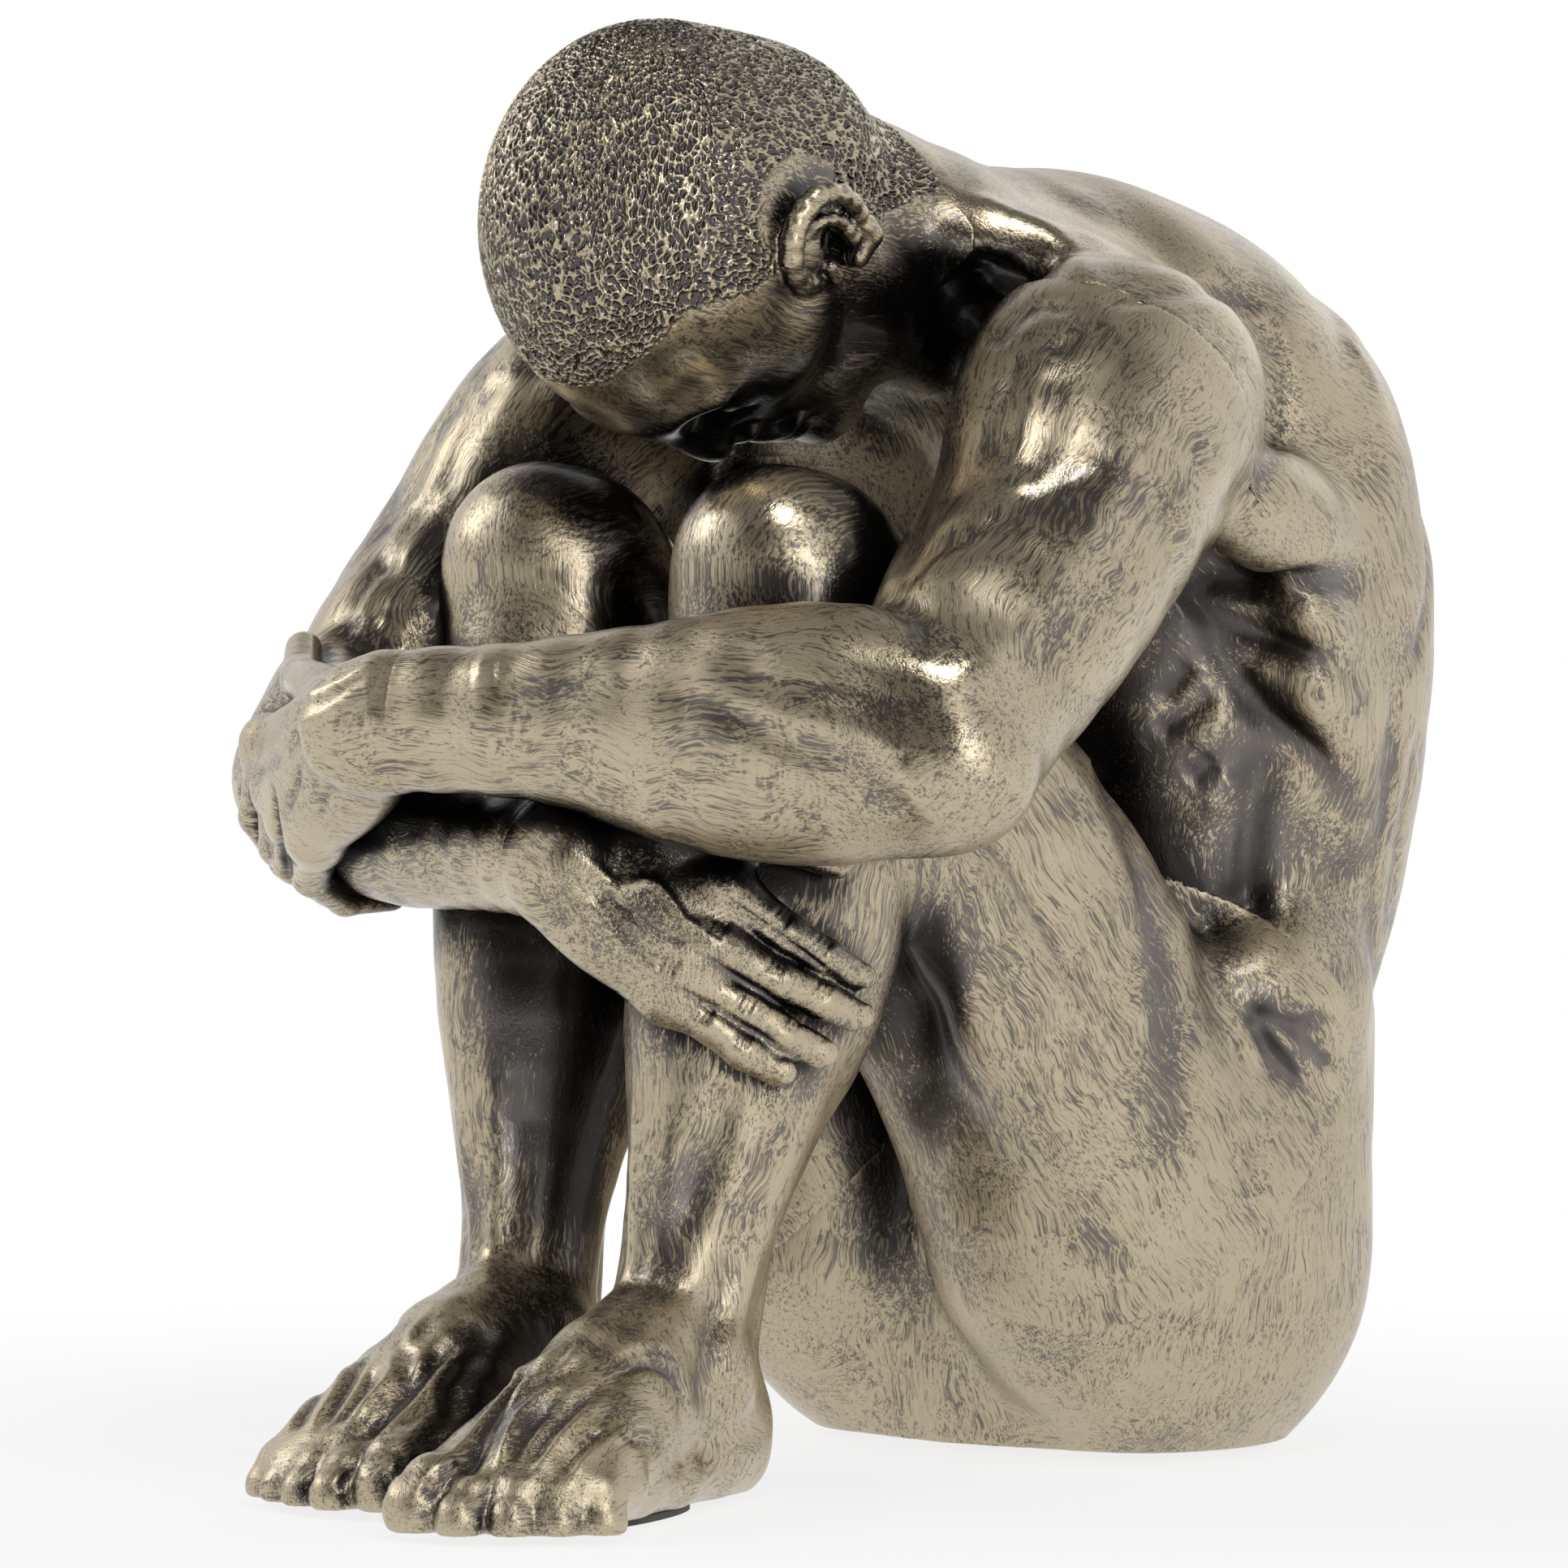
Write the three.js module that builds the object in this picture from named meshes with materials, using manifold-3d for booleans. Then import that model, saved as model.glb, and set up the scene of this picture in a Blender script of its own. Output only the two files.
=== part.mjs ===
// Seated nude male statue, knees drawn up, arms folded round the shins, head bowed on the knees.
// Millimetres, Z up, the figure faces -Y and its left side is +X.
import * as THREE from 'three';
import { edgeTable, triTable } from 'three/addons/objects/MarchingCubes.js';
import Module from 'manifold-3d';

const wasm = await Module();
wasm.setup();
const { Manifold, Mesh } = wasm;

// Joint centres of the figure, pelvis frame: hips over the origin, floor at z = 0
const JOINT = {
  hip: { L: [27, 0, 30], R: [-27, 0, 30] },
  knee: { L: [20, -84, 138], R: [-33, -79.5, 139] },
  ankle: { L: [22.5, -114, 21], R: [-20, -102, 22] },
  toe: { L: [38, -170, 5], R: [-8, -155, 5] },
  shoulder: { L: [49, -36, 167], R: [-57, -37, 168] },
  elbow: { L: [68.5, -106.5, 114], R: [-60, -101.5, 110.5] },
  wrist: { L: [-9, -142, 118], R: [11, -127, 96.5] },
  skull: [1, -87.5, 191],
};
const SIDES = [['L', 1], ['R', -1]];

// Sizes of the joints between the castings
const GAP = 0.3;
const DOWEL_SLOP = 0.2;
const HALF_TURN = 180;

// Vectors
const add = (a, b) => [a[0] + b[0], a[1] + b[1], a[2] + b[2]];
const sub = (a, b) => [a[0] - b[0], a[1] - b[1], a[2] - b[2]];
const mul = (a, s) => [a[0] * s, a[1] * s, a[2] * s];
const dot = (a, b) => a[0] * b[0] + a[1] * b[1] + a[2] * b[2];
const cross = (a, b) => [a[1] * b[2] - a[2] * b[1], a[2] * b[0] - a[0] * b[2], a[0] * b[1] - a[1] * b[0]];
const len = (a) => Math.hypot(a[0], a[1], a[2]);
const unit = (a) => mul(a, 1 / len(a));
const mix = (a, b, t) => add(mul(a, 1 - t), mul(b, t));

// A bone: origin, long axis, front and outer directions, length
function bone(from, to, front, outer) {
  const span = sub(to, from);
  const u = unit(span);
  const f = unit(sub(front, mul(u, dot(front, u))));
  const side = cross(u, f);
  const o = dot(side, outer) < 0 ? mul(side, -1) : side;
  return { from, span, u, f, o };
}
// Point on a bone: outward mm, frontward mm, fraction of the bone
const on = (b, out, front, t) => add(add(b.from, mul(b.span, t)), add(mul(b.o, out), mul(b.f, front)));

// Signed distances
function smoothMin(a, b, k) {
  const h = Math.max(k - Math.abs(a - b), 0) / k;
  return Math.min(a, b) - h * h * k * 0.25;
}
const smoothMax = (a, b, k) => -smoothMin(-a, -b, k);

function scaledDistance(x, y, z, rx, ry, rz) {
  const k0 = Math.hypot(x / rx, y / ry, z / rz);
  if (k0 < 1e-6) return -Math.min(rx, ry, rz);
  const k1 = Math.hypot(x / (rx * rx), y / (ry * ry), z / (rz * rz));
  return (k0 * (k0 - 1)) / k1;
}
// A muscle: an ellipsoid lying from tip to tip, half width and half depth across it
function muscle(a, b, wide, deep, face, k) {
  const u = unit(sub(b, a));
  const f = unit(sub(face, mul(u, dot(face, u))));
  const o = cross(u, f);
  const mid = mix(a, b, 0.5);
  const half = len(sub(b, a)) / 2;
  return {
    k,
    d: (p) => {
      const q = sub(p, mid);
      return scaledDistance(dot(q, o), dot(q, f), dot(q, u), wide, deep, half);
    },
  };
}
const ball = (c, r, k) => ({ k, d: (p) => Math.hypot(p[0] - c[0], p[1] - c[1], p[2] - c[2]) - r });
// A limb: oval sections strung along a smooth line; each section is [point, half width, half depth]
function limb(sections, face, k, steps = 2) {
  const at = (i) => sections[Math.max(0, Math.min(sections.length - 1, i))];
  const rows = [];
  for (let i = 0; i < sections.length - 1; i++) {
    for (let j = 0; j < steps; j++) rows.push(between(at(i - 1), at(i), at(i + 1), at(i + 2), j / steps));
  }
  rows.push(sections[sections.length - 1]);
  const segments = [];
  for (let i = 0; i < rows.length - 1; i++) {
    const span = sub(rows[i + 1][0], rows[i][0]);
    const l = len(span);
    const u = mul(span, 1 / l);
    const f = unit(sub(face, mul(u, dot(face, u))));
    segments.push({ a: rows[i], b: rows[i + 1], u, f, o: cross(u, f), l });
  }
  return {
    k,
    d: (p) => {
      let best = 1e9;
      for (const s of segments) {
        const q = sub(p, s.a[0]);
        const along = dot(q, s.u);
        const t = Math.max(0, Math.min(1, along / s.l));
        const wide = s.a[1] + (s.b[1] - s.a[1]) * t;
        const deep = s.a[2] + (s.b[2] - s.a[2]) * t;
        const past = along - t * s.l;
        const d = scaledDistance(dot(q, s.o), dot(q, s.f), past, wide, deep, (wide + deep) / 2);
        best = smoothMin(best, d, 1.5);
      }
      return best;
    },
  };
}
function between(a, b, c, d, t) {
  const curve = (w, x, y, z) => {
    const m0 = (y - w) / 2;
    const m1 = (z - x) / 2;
    const t2 = t * t;
    const t3 = t2 * t;
    return (2 * t3 - 3 * t2 + 1) * x + (t3 - 2 * t2 + t) * m0 + (-2 * t3 + 3 * t2) * y + (t3 - t2) * m1;
  };
  const p = [0, 1, 2].map((i) => curve(a[0][i], b[0][i], c[0][i], d[0][i]));
  return [p, curve(a[1], b[1], c[1], d[1]), curve(a[2], b[2], c[2], d[2])];
}
// A finger or toe: round joints on a line; each is [point, radius]
function digit(joints, k) {
  return {
    k,
    d: (p) => {
      let best = 1e9;
      for (let i = 0; i < joints.length - 1; i++) {
        const [a, ra] = joints[i];
        const [b, rb] = joints[i + 1];
        const s = sub(b, a);
        const q = sub(p, a);
        const t = Math.max(0, Math.min(1, dot(q, s) / dot(s, s)));
        best = smoothMin(best, len(sub(q, mul(s, t))) - (ra + (rb - ra) * t), 0.8);
      }
      return best;
    },
  };
}
const groove = (points, r, k) => ({ ...digit(points.map((p) => [p, r]), k), carve: true });

function shape(masses) {
  return (p) => {
    let d = 1e9;
    for (const m of masses) {
      d = m.carve ? smoothMax(d, -m.d(p), m.k) : smoothMin(d, m.d(p), m.k);
    }
    return d;
  };
}

// Trunk
// Sections of the trunk from seat to neck: y, z, half width, half depth
const TRUNK = [
  [4.5, 16, 42.5, 30.5],
  [9, 36, 50, 36.5],
  [13, 56, 50, 36],
  [17.5, 76, 47, 35],
  [20.5, 100, 50, 40],
  [20.5, 126, 54.5, 42],
  [15.5, 150, 55.5, 41],
  [2.5, 169, 47.5, 32.5],
  [-24, 185, 30, 20],
  [-48, 193.5, 20, 18],
  [-59, 193, 18, 17],
];
const FORWARD = [0, -1, 0];
const UP = [0, 0, 1];
function trunkMasses() {
  const list = [limb(TRUNK.map(([y, z, w, h]) => [[0, y, z], w, h]), FORWARD, 1)];
  for (const [, s] of SIDES) {
    const at = (x, y, z) => [s * x, y, z];
    // buttock, hip, erector, lat, teres, shoulder blade, trapezius, chest
    list.push(muscle(at(27, 12, 2), at(27, 12, 54), 23, 22, FORWARD, 9));
    list.push(muscle(at(41, -8, 26), at(38, 2, 66), 12, 18, FORWARD, 9));
    list.push(muscle(at(9, 40, 40), at(13, 53, 132), 8, 6, FORWARD, 7));
    list.push(muscle(at(30, 40, 84), at(54, -2, 150), 17, 8, at(0.7, 0.7, 0), 7));
    list.push(muscle(at(26, 42, 146), at(56, -4, 146), 9, 8, at(0.7, 0.7, 0), 6));
    list.push(muscle(at(28, 34, 176), at(48, 20, 150), 14, 9, at(0.5, 0.8, 0.3), 6));
    list.push(muscle(at(8, -52, 198), at(46, -18, 180), 13, 8, UP, 8));
    list.push(muscle(at(4, -20, 158), at(48, -26, 162), 16, 13, FORWARD, 8));
    list.push(muscle(at(16, -72, 186), at(8, -36, 172), 6, 6, FORWARD, 5));
    list.push(muscle(at(44, 8, 60), at(46, 8, 86), 9, 15, FORWARD, 8));
  }
  list.push(groove([[0, 46, 34], [0, 50, 60], [0, 57, 98], [0, 60, 128], [0, 55, 156], [0, 36, 184]], 3, 6));
  return list;
}

// Legs
// Sections of thigh and lower leg: fraction of the bone, half width, half depth, frontward shift
const THIGH = [
  [0.0, 26, 30, -5],
  [0.13, 27, 33, -5],
  [0.28, 26, 28.5, -1],
  [0.48, 23.5, 24, 5],
  [0.7, 21, 21, 6],
  [0.9, 18.5, 18.5, 1],
  [1.0, 18, 17.5, 0],
];
const SHIN = [
  [0.0, 18, 17.5, 0],
  [0.12, 17, 18.5, -2],
  [0.28, 18, 20.5, -4.5],
  [0.42, 18.5, 21, -5],
  [0.57, 16.5, 18.5, -4],
  [0.7, 13, 14.5, -3],
  [0.82, 10.5, 12, -1.5],
  [0.92, 10, 11, -1],
  [1.0, 11, 12, 0],
];
// Sections of the foot: mm ahead of the ankle, height, half width, half depth
const FOOT = [
  [-12, 11, 10, 11],
  [-4, 14, 11, 14],
  [10, 19, 11.5, 14],
  [26, 14.5, 13, 11.5],
  [40, 9.5, 15.5, 8.5],
  [47, 7, 16, 6],
];
// Sole: mm ahead of the ankle, outward mm, height, half width, half depth
const SOLE = [
  [-11, 0, 6, 9, 6],
  [14, 2, 5.5, 9.5, 5.5],
  [40, 0, 5, 14, 5],
];
// Toes: outward mm of root and tip, mm ahead of the ankle of root and tip, radius
const TOES = [
  [-10, -11.5, 44, 63, 5],
  [-3, -3.5, 46, 63.5, 3.8],
  [3, 3.5, 45, 60.5, 3.6],
  [8.5, 9.5, 43, 57, 3.5],
  [13, 14.5, 40, 53, 3.6],
];
const THIGH_FRONT = [0, 0.81, 0.58];
function legMasses(S, s) {
  const side = [s, 0, 0];
  const thigh = bone(JOINT.hip[S], JOINT.knee[S], THIGH_FRONT, side);
  const shin = bone(JOINT.knee[S], JOINT.ankle[S], FORWARD, side);
  const list = [];
  list.push(limb(THIGH.map(([t, w, h, f]) => [on(thigh, 0, f, t), w, h]), THIGH_FRONT, 1));
  list.push(muscle(on(thigh, 11, 8, 0.12), on(thigh, 9, 6, 0.9), 12, 17, thigh.f, 5));
  list.push(muscle(on(thigh, -9, 12, 0.45), on(thigh, -9, 6, 0.96), 10, 11, thigh.f, 5));
  list.push(muscle(on(thigh, 2, 18, 0.1), on(thigh, 0, 15, 0.86), 12, 10, thigh.f, 5));
  list.push(muscle(on(thigh, 13, -18, 0.02), on(thigh, 13, -10, 0.95), 9, 12, thigh.f, 5));
  list.push(muscle(on(thigh, -10, -16, 0.02), on(thigh, -12, -10, 0.95), 10, 11, thigh.f, 6));
  list.push(muscle(on(thigh, -14, 0, 0.0), on(thigh, -12, 2, 0.62), 12, 18, thigh.f, 6));
  list.push(limb(SHIN.map(([t, w, h, f]) => [on(shin, 0, f, t), w, h]), shin.f, 3));
  list.push(muscle(on(shin, 8, -13, 0.04), on(shin, 6, -14, 0.64), 11, 11, shin.f, 5));
  list.push(muscle(on(shin, -8, -13, 0.04), on(shin, -6, -14, 0.68), 11, 11, shin.f, 5));
  list.push(muscle(on(shin, 6, 9, 0.08), on(shin, 0, 7, 0.8), 8, 7, shin.f, 5));
  list.push(muscle(on(shin, 13, -1, 0.12), on(shin, 9, -2, 0.85), 5, 8, shin.f, 5));
  const cap = add(JOINT.knee[S], [0, -9, 8]);
  list.push(muscle(add(cap, [0, 6, 8]), add(cap, [0, -6, -9]), 10, 8, [0, -0.7, 0.7], 6));
  list.push(muscle(on(shin, 0, 12, 0.02), on(shin, 0, 13, 0.2), 7, 5, shin.f, 5));
  list.push(...footMasses(S, s));
  return list;
}
function footFrame(S) {
  const a = JOINT.ankle[S];
  const t = JOINT.toe[S];
  return bone([a[0], a[1], 0], [t[0], t[1], 0], UP, S === 'L' ? [1, 0, 0] : [-1, 0, 0]);
}
const onFoot = (b, ahead, out, up) => add(b.from, add(mul(b.u, ahead), add(mul(b.o, out), [0, 0, up])));
function footMasses(S, s) {
  const b = footFrame(S);
  const a = JOINT.ankle[S];
  const list = [limb(FOOT.map(([x, z, w, h]) => [onFoot(b, x, 0, z), w, h]), UP, 5)];
  list.push(limb(SOLE.map(([x, o, z, w, h]) => [onFoot(b, x, o, z), w, h]), UP, 4));
  list.push(ball(add(a, [s * 8, 1, -1]), 6, 4));
  list.push(ball(add(a, [-s * 8, -2, 2]), 6, 4));
  const shin = bone(JOINT.knee[S], a, FORWARD, [s, 0, 0]);
  list.push(muscle(on(shin, 0, -11, 0.72), onFoot(b, -15, 0, 10), 4, 5, UP, 5));
  list.push(muscle(onFoot(b, -2, -7, 8), onFoot(b, 50, -10, 8), 7, 7, UP, 5));
  for (const [o0, o1, x0, x1, r] of TOES) {
    const root = onFoot(b, x0, o0, r + 3.5);
    const knuckle = onFoot(b, (x0 + x1) / 2 + 1, (o0 + o1) / 2, r + 2.6);
    const tip = onFoot(b, x1 - r, o1, r - 0.6);
    list.push(digit([[root, r], [knuckle, r * 0.95], [tip, r * 0.95]], 1.6));
  }
  return list;
}

// Arms
// Sections of the arm: fraction of the bone, half width up and down, half depth, upward shift
const UPPER_ARM = [
  [0.0, 21, 20, 0],
  [0.2, 21.5, 20.5, 0],
  [0.5, 19, 18.5, 0],
  [0.75, 17.5, 17, 0],
  [1.0, 15.5, 15, 0],
];
const FOREARM = {
  L: [
    [0.0, 15.5, 14.5, 1],
    [0.15, 18.5, 15.5, 2],
    [0.33, 17.5, 15, 2],
    [0.56, 13.5, 12, 1.5],
    [0.78, 10.5, 9.5, 1],
    [1.0, 9.6, 7.2, 0],
    [1.08, 7.6, 5.6, -2],
  ],
  R: [
    [0.0, 13, 13, 2],
    [0.15, 15, 14.5, 2.5],
    [0.33, 16.2, 14.5, 1.2],
    [0.56, 12.8, 11.5, 0],
    [0.78, 9.8, 8.7, 0],
    [1.0, 8.4, 6.8, 1],
    [1.06, 7, 5.5, 1],
  ],
};
// Underside of the forearm: upward shift at the elbow, thickness
const FLEXOR = { L: [-9, 10], R: [-7.5, 9.5] };
function armBones(S) {
  const flex = sub(JOINT.wrist[S], JOINT.elbow[S]);
  const upper = bone(JOINT.shoulder[S], JOINT.elbow[S], flex, UP);
  const fore = bone(JOINT.elbow[S], JOINT.wrist[S], FORWARD, UP);
  return { upper, fore };
}
function armMasses(S, s) {
  const { upper, fore } = armBones(S);
  const list = [];
  list.push(limb(UPPER_ARM.map(([t, w, h, o]) => [on(upper, o, 0, t), w, h]), upper.f, 1));
  const acromion = add(JOINT.shoulder[S], [-s * 5, 2, 17]);
  list.push(muscle(acromion, on(upper, 6, -4, 0.56), 21, 15, add(upper.o, [s, 0.3, 0.4]), 7));
  list.push(muscle(on(upper, 2, -7, 0.08), on(upper, 0, -6, 0.92), 15, 13, upper.f, 5));
  list.push(muscle(on(upper, 2, 8, 0.2), on(upper, 1, 7, 0.98), 12, 12, upper.f, 5));
  list.push(muscle(on(upper, 11, 0, 0.4), on(upper, 9, 3, 1.0), 8, 9, upper.f, 4));
  list.push(limb(FOREARM[S].map(([t, w, h, o]) => [on(fore, o, 0, t), w, h]), fore.f, 3));
  list.push(muscle(on(fore, 11, 4, -0.12), on(fore, 5, 1, 0.62), 9, 10, fore.f, 5));
  const [low, thick] = FLEXOR[S];
  list.push(muscle(on(fore, low, 3, 0.02), on(fore, -5, 1, 0.66), thick, thick, fore.f, 5));
  list.push(ball(add(JOINT.elbow[S], add(mul(upper.f, -7), mul(upper.u, 5))), 8.5, 6));
  return list;
}

// Head
// Head frame: x outward, n toward the face, v toward the crown
const TILT = 5;
const tiltCos = Math.cos((TILT * Math.PI) / HALF_TURN);
const tiltSin = Math.sin((TILT * Math.PI) / HALF_TURN);
const FACE = [0, -tiltSin, -tiltCos];
const CROWN = [0, -tiltCos, tiltSin];
const inHead = (x, n, v) => add(JOINT.skull, add([x, 0, 0], add(mul(FACE, n), mul(CROWN, v))));
function headMasses() {
  const list = [];
  list.push(muscle(inHead(0, -2, -22), inHead(0, -3, 35), 25.5, 31, FACE, 1));
  list.push(muscle(inHead(0, -16, -32), inHead(0, -14, 8), 21, 18, FACE, 8));
  list.push(muscle(inHead(0, 8, -38), inHead(0, 10, 22), 18, 18, FACE, 9));
  list.push(muscle(inHead(0, 16, -39), inHead(0, 12, -14), 13, 10, FACE, 7));
  list.push(muscle(inHead(-15, 25, 5), inHead(15, 25, 5), 4, 4, CROWN, 5));
  list.push(muscle(inHead(0, 25, 4), inHead(0, 31, -13), 3.6, 4, FACE, 4));
  list.push(muscle(inHead(0, -3, -58), inHead(0, -10, 4), 17, 17, FACE, 8));
  for (const [, s] of SIDES) {
    list.push(muscle(inHead(s * 12, 20, -8), inHead(s * 22, 6, -5), 5, 5, CROWN, 6));
    list.push(muscle(inHead(s * 14, 10, -34), inHead(s * 20, -2, -12), 6, 7, FACE, 7));
    list.push({ ...ball(inHead(s * 10.5, 27.5, 0), 5, 4), carve: true });
    list.push(ball(inHead(s * 10.2, 21.5, -0.5), 4.6, 2));
    list.push(muscle(inHead(s * 24, 0, -13), inHead(s * 26, -6, 6), 3, 6, FACE, 2));
  }
  return list;
}

// Hands
// A point lifted off a surface, found by walking in from outside toward an axis point
function seat(field, axisPoint, direction, lift) {
  let p = add(axisPoint, mul(direction, 45));
  for (let i = 0; i < 60; i++) {
    const d = field(p) - lift;
    p = sub(p, mul(direction, d * 0.7));
  }
  return p;
}
const turn = (degrees) => (degrees * Math.PI) / HALF_TURN;
// Right hand on the left calf: angle from the front round to the outside, height
const RIGHT_FINGERS = {
  index: [[31, 93.7], [56, 87], [74, 83.6], [92, 80.6]],
  middle: [[29, 85.4], [56, 80], [76, 77], [97, 74.6]],
  ring: [[20, 81], [45, 75.8], [62, 72], [81, 69.3]],
  little: [[14, 78], [32, 73.6], [46, 69.7], [63, 66.7]],
};
const FINGER_RADII = [3.9, 3.1, 2.9, 2.6];
const RIGHT_THUMB_ROOT = [[[2, 1, 4], 5.5], [[16, 9, 4], 4.5]];
function rightHandMasses(leg) {
  const shin = bone(JOINT.knee.L, JOINT.ankle.L, FORWARD, [1, 0, 0]);
  const atCalf = (angle, z, lift) => {
    const t = (JOINT.knee.L[2] - z) / (JOINT.knee.L[2] - JOINT.ankle.L[2]);
    const direction = [Math.sin(turn(angle)), -Math.cos(turn(angle)), 0];
    return seat(leg, on(shin, 0, -3, t), direction, lift);
  };
  const wrist = JOINT.wrist.R;
  const list = [];
  const knuckles = {};
  for (const [name, path] of Object.entries(RIGHT_FINGERS)) {
    const lift = (i) => (i === 0 ? 4.5 : FINGER_RADII[i] + 0.2);
    const joints = path.map(([angle, z], i) => [atCalf(angle, z, lift(i)), FINGER_RADII[i]]);
    knuckles[name] = joints[0][0];
    list.push(digit(joints, 1.2));
    list.push(digit([[mix(wrist, joints[0][0], 0.1), 6], [joints[0][0], 3.7]], 4));
  }
  const palm = mix(knuckles.middle, knuckles.ring, 0.5);
  const outFromShin = sub(palm, on(shin, 0, 0, 0.5));
  list.push(muscle(mix(wrist, palm, -0.15), mix(wrist, palm, 1.1), 10.5, 6.5, outFromShin, 4));
  const { fore } = armBones('R');
  list.push(limb(FOREARM.R.slice(3).map(([t, w, h, o]) => [on(fore, o, 0, t), w, h]), fore.f, 3));
  const thumb = RIGHT_THUMB_ROOT.map(([p, r]) => [add(wrist, p), r]);
  thumb.push([atCalf(50, 101, 3.5), 3.6], [atCalf(72, 98, 3.2), 3]);
  list.push(digit(thumb, 3));
  return list;
}
// Left hand over the right forearm: angle from the front down and under, fraction from elbow to wrist
const LEFT_FINGERS = {
  index: [[-14, 0.19, 4.2], [26, 0.1, 3.4], [58, 0.08, 2.3], [84, 0.09, 1.6]],
  middle: [[2, 0.27, 4.4], [38, 0.17, 3.5], [70, 0.15, 2.2], [97, 0.16, 1.5]],
  ring: [[14, 0.34, 4.3], [44, 0.22, 3.2], [72, 0.19, 2], [98, 0.19, 1.3]],
  little: [[20, 0.41, 4], [48, 0.29, 2.8], [74, 0.25, 1.8], [99, 0.25, 1.2]],
};
const LEFT_THUMB_ROOT = [[[-4, 1, 1.5], 5.5], [[-14, 5, 3], 4.4]];
function leftHandMasses(arm) {
  const { fore } = armBones('R');
  const down = mul(fore.o, -1);
  const atArm = (angle, t, lift) => {
    const direction = add(mul(fore.f, Math.cos(turn(angle))), mul(down, Math.sin(turn(angle))));
    return seat(arm, on(fore, 0, 0, t), direction, lift);
  };
  const wrist = JOINT.wrist.L;
  const list = [];
  const knuckles = {};
  for (const [name, path] of Object.entries(LEFT_FINGERS)) {
    const joints = path.map(([angle, t, lift], i) => [atArm(angle, t, lift), FINGER_RADII[i]]);
    knuckles[name] = joints[0][0];
    list.push(digit(joints, 1.2));
    list.push(digit([[mix(wrist, joints[0][0], 0.1), 6.5], [joints[0][0], 3.9]], 4));
  }
  const palm = mix(knuckles.middle, knuckles.ring, 0.4);
  list.push(muscle(mix(wrist, palm, -0.15), mix(wrist, palm, 1.05), 12, 7, FORWARD, 4));
  const own = armBones('L').fore;
  list.push(limb(FOREARM.L.slice(3).map(([t, w, h, o]) => [on(own, o, 0, t), w, h]), own.f, 3));
  const thumb = LEFT_THUMB_ROOT.map(([p, r]) => [add(wrist, p), r]);
  thumb.push([atArm(-46, 0.17, 2.8), 3.4], [atArm(-60, 0.05, 2.4), 2.9]);
  list.push(digit(thumb, 3));
  return list;
}

// Castings
// Own masses of each casting
const legL = legMasses('L', 1);
const legR = legMasses('R', -1);
const armL = armMasses('L', 1);
const armR = armMasses('R', -1);
const OWN = {
  torso: shape(trunkMasses()),
  head: shape(headMasses()),
  leg_L: shape(legL),
  leg_R: shape(legR),
  arm_L: shape(armL),
  arm_R: shape(armR),
};
OWN.hand_R = shape(rightHandMasses(OWN.leg_L));
OWN.hand_L = shape(leftHandMasses(OWN.arm_R));

// Bonded joints: flat face through a centre, facing the outer casting, inside a ball of this radius
// and how far the inner casting takes in the outer one
const REACH = 8;
const HIP_REACH = 18;
function joint(inner, outer, centre, normal, radius, blend, dowel, reach = REACH) {
  return { inner, outer, centre, normal: unit(normal), radius, blend, dowel, reach };
}
const thighBone = (S, s) => bone(JOINT.hip[S], JOINT.knee[S], THIGH_FRONT, [s, 0, 0]);
const hipJoint = (S, s) => {
  const b = thighBone(S, s);
  return joint('torso', 'leg_' + S, on(b, 2, -2, 0.16), add(b.u, [s * 0.5, 0, 0]), 46, 6, [5, 15], HIP_REACH);
};
const shoulderJoint = (S) => {
  const b = armBones(S).upper;
  return joint('torso', 'arm_' + S, on(b, 0, 0, 0.04), b.u, 33, 6, [4.5, 12]);
};
const wristJoint = (S, name) => {
  const b = armBones(S).fore;
  return joint('arm_' + S, name, on(b, 0, 0, 0.97), b.u, 15, 3, [2.5, 7]);
};
const JOINTS = {
  neck: joint('torso', 'head', [0, -50, 193], [0, -1, 0], 28, 6, [5, 12]),
  left_hip: hipJoint('L', 1),
  right_hip: hipJoint('R', -1),
  left_shoulder: shoulderJoint('L'),
  right_shoulder: shoulderJoint('R'),
  left_wrist: wristJoint('L', 'hand_L'),
  right_wrist: wristJoint('R', 'hand_R'),
};
function casting(name) {
  const inner = Object.values(JOINTS).filter((j) => j.inner === name);
  const outer = Object.values(JOINTS).filter((j) => j.outer === name);
  return (p) => {
    let d = OWN[name](p);
    for (const j of inner) {
      const side = dot(sub(p, j.centre), j.normal);
      d = smoothMin(d, Math.max(OWN[j.outer](p), side - j.reach), j.blend);
    }
    for (const j of outer) {
      const past = len(sub(p, j.centre)) - j.radius;
      d = smoothMin(d, Math.max(OWN[j.inner](p), past), j.blend);
    }
    return Math.max(d, -p[2] - 1);
  };
}

// Surfaces
const CORNERS = [[0, 0, 0], [1, 0, 0], [1, 1, 0], [0, 1, 0], [0, 0, 1], [1, 0, 1], [1, 1, 1], [0, 1, 1]];
const EDGES = [
  [0, 1], [1, 2], [2, 3], [3, 0],
  [4, 5], [5, 6], [6, 7], [7, 4],
  [0, 4], [1, 5], [2, 6], [3, 7],
];
const BLOCK_SPAN = 10;
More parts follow.
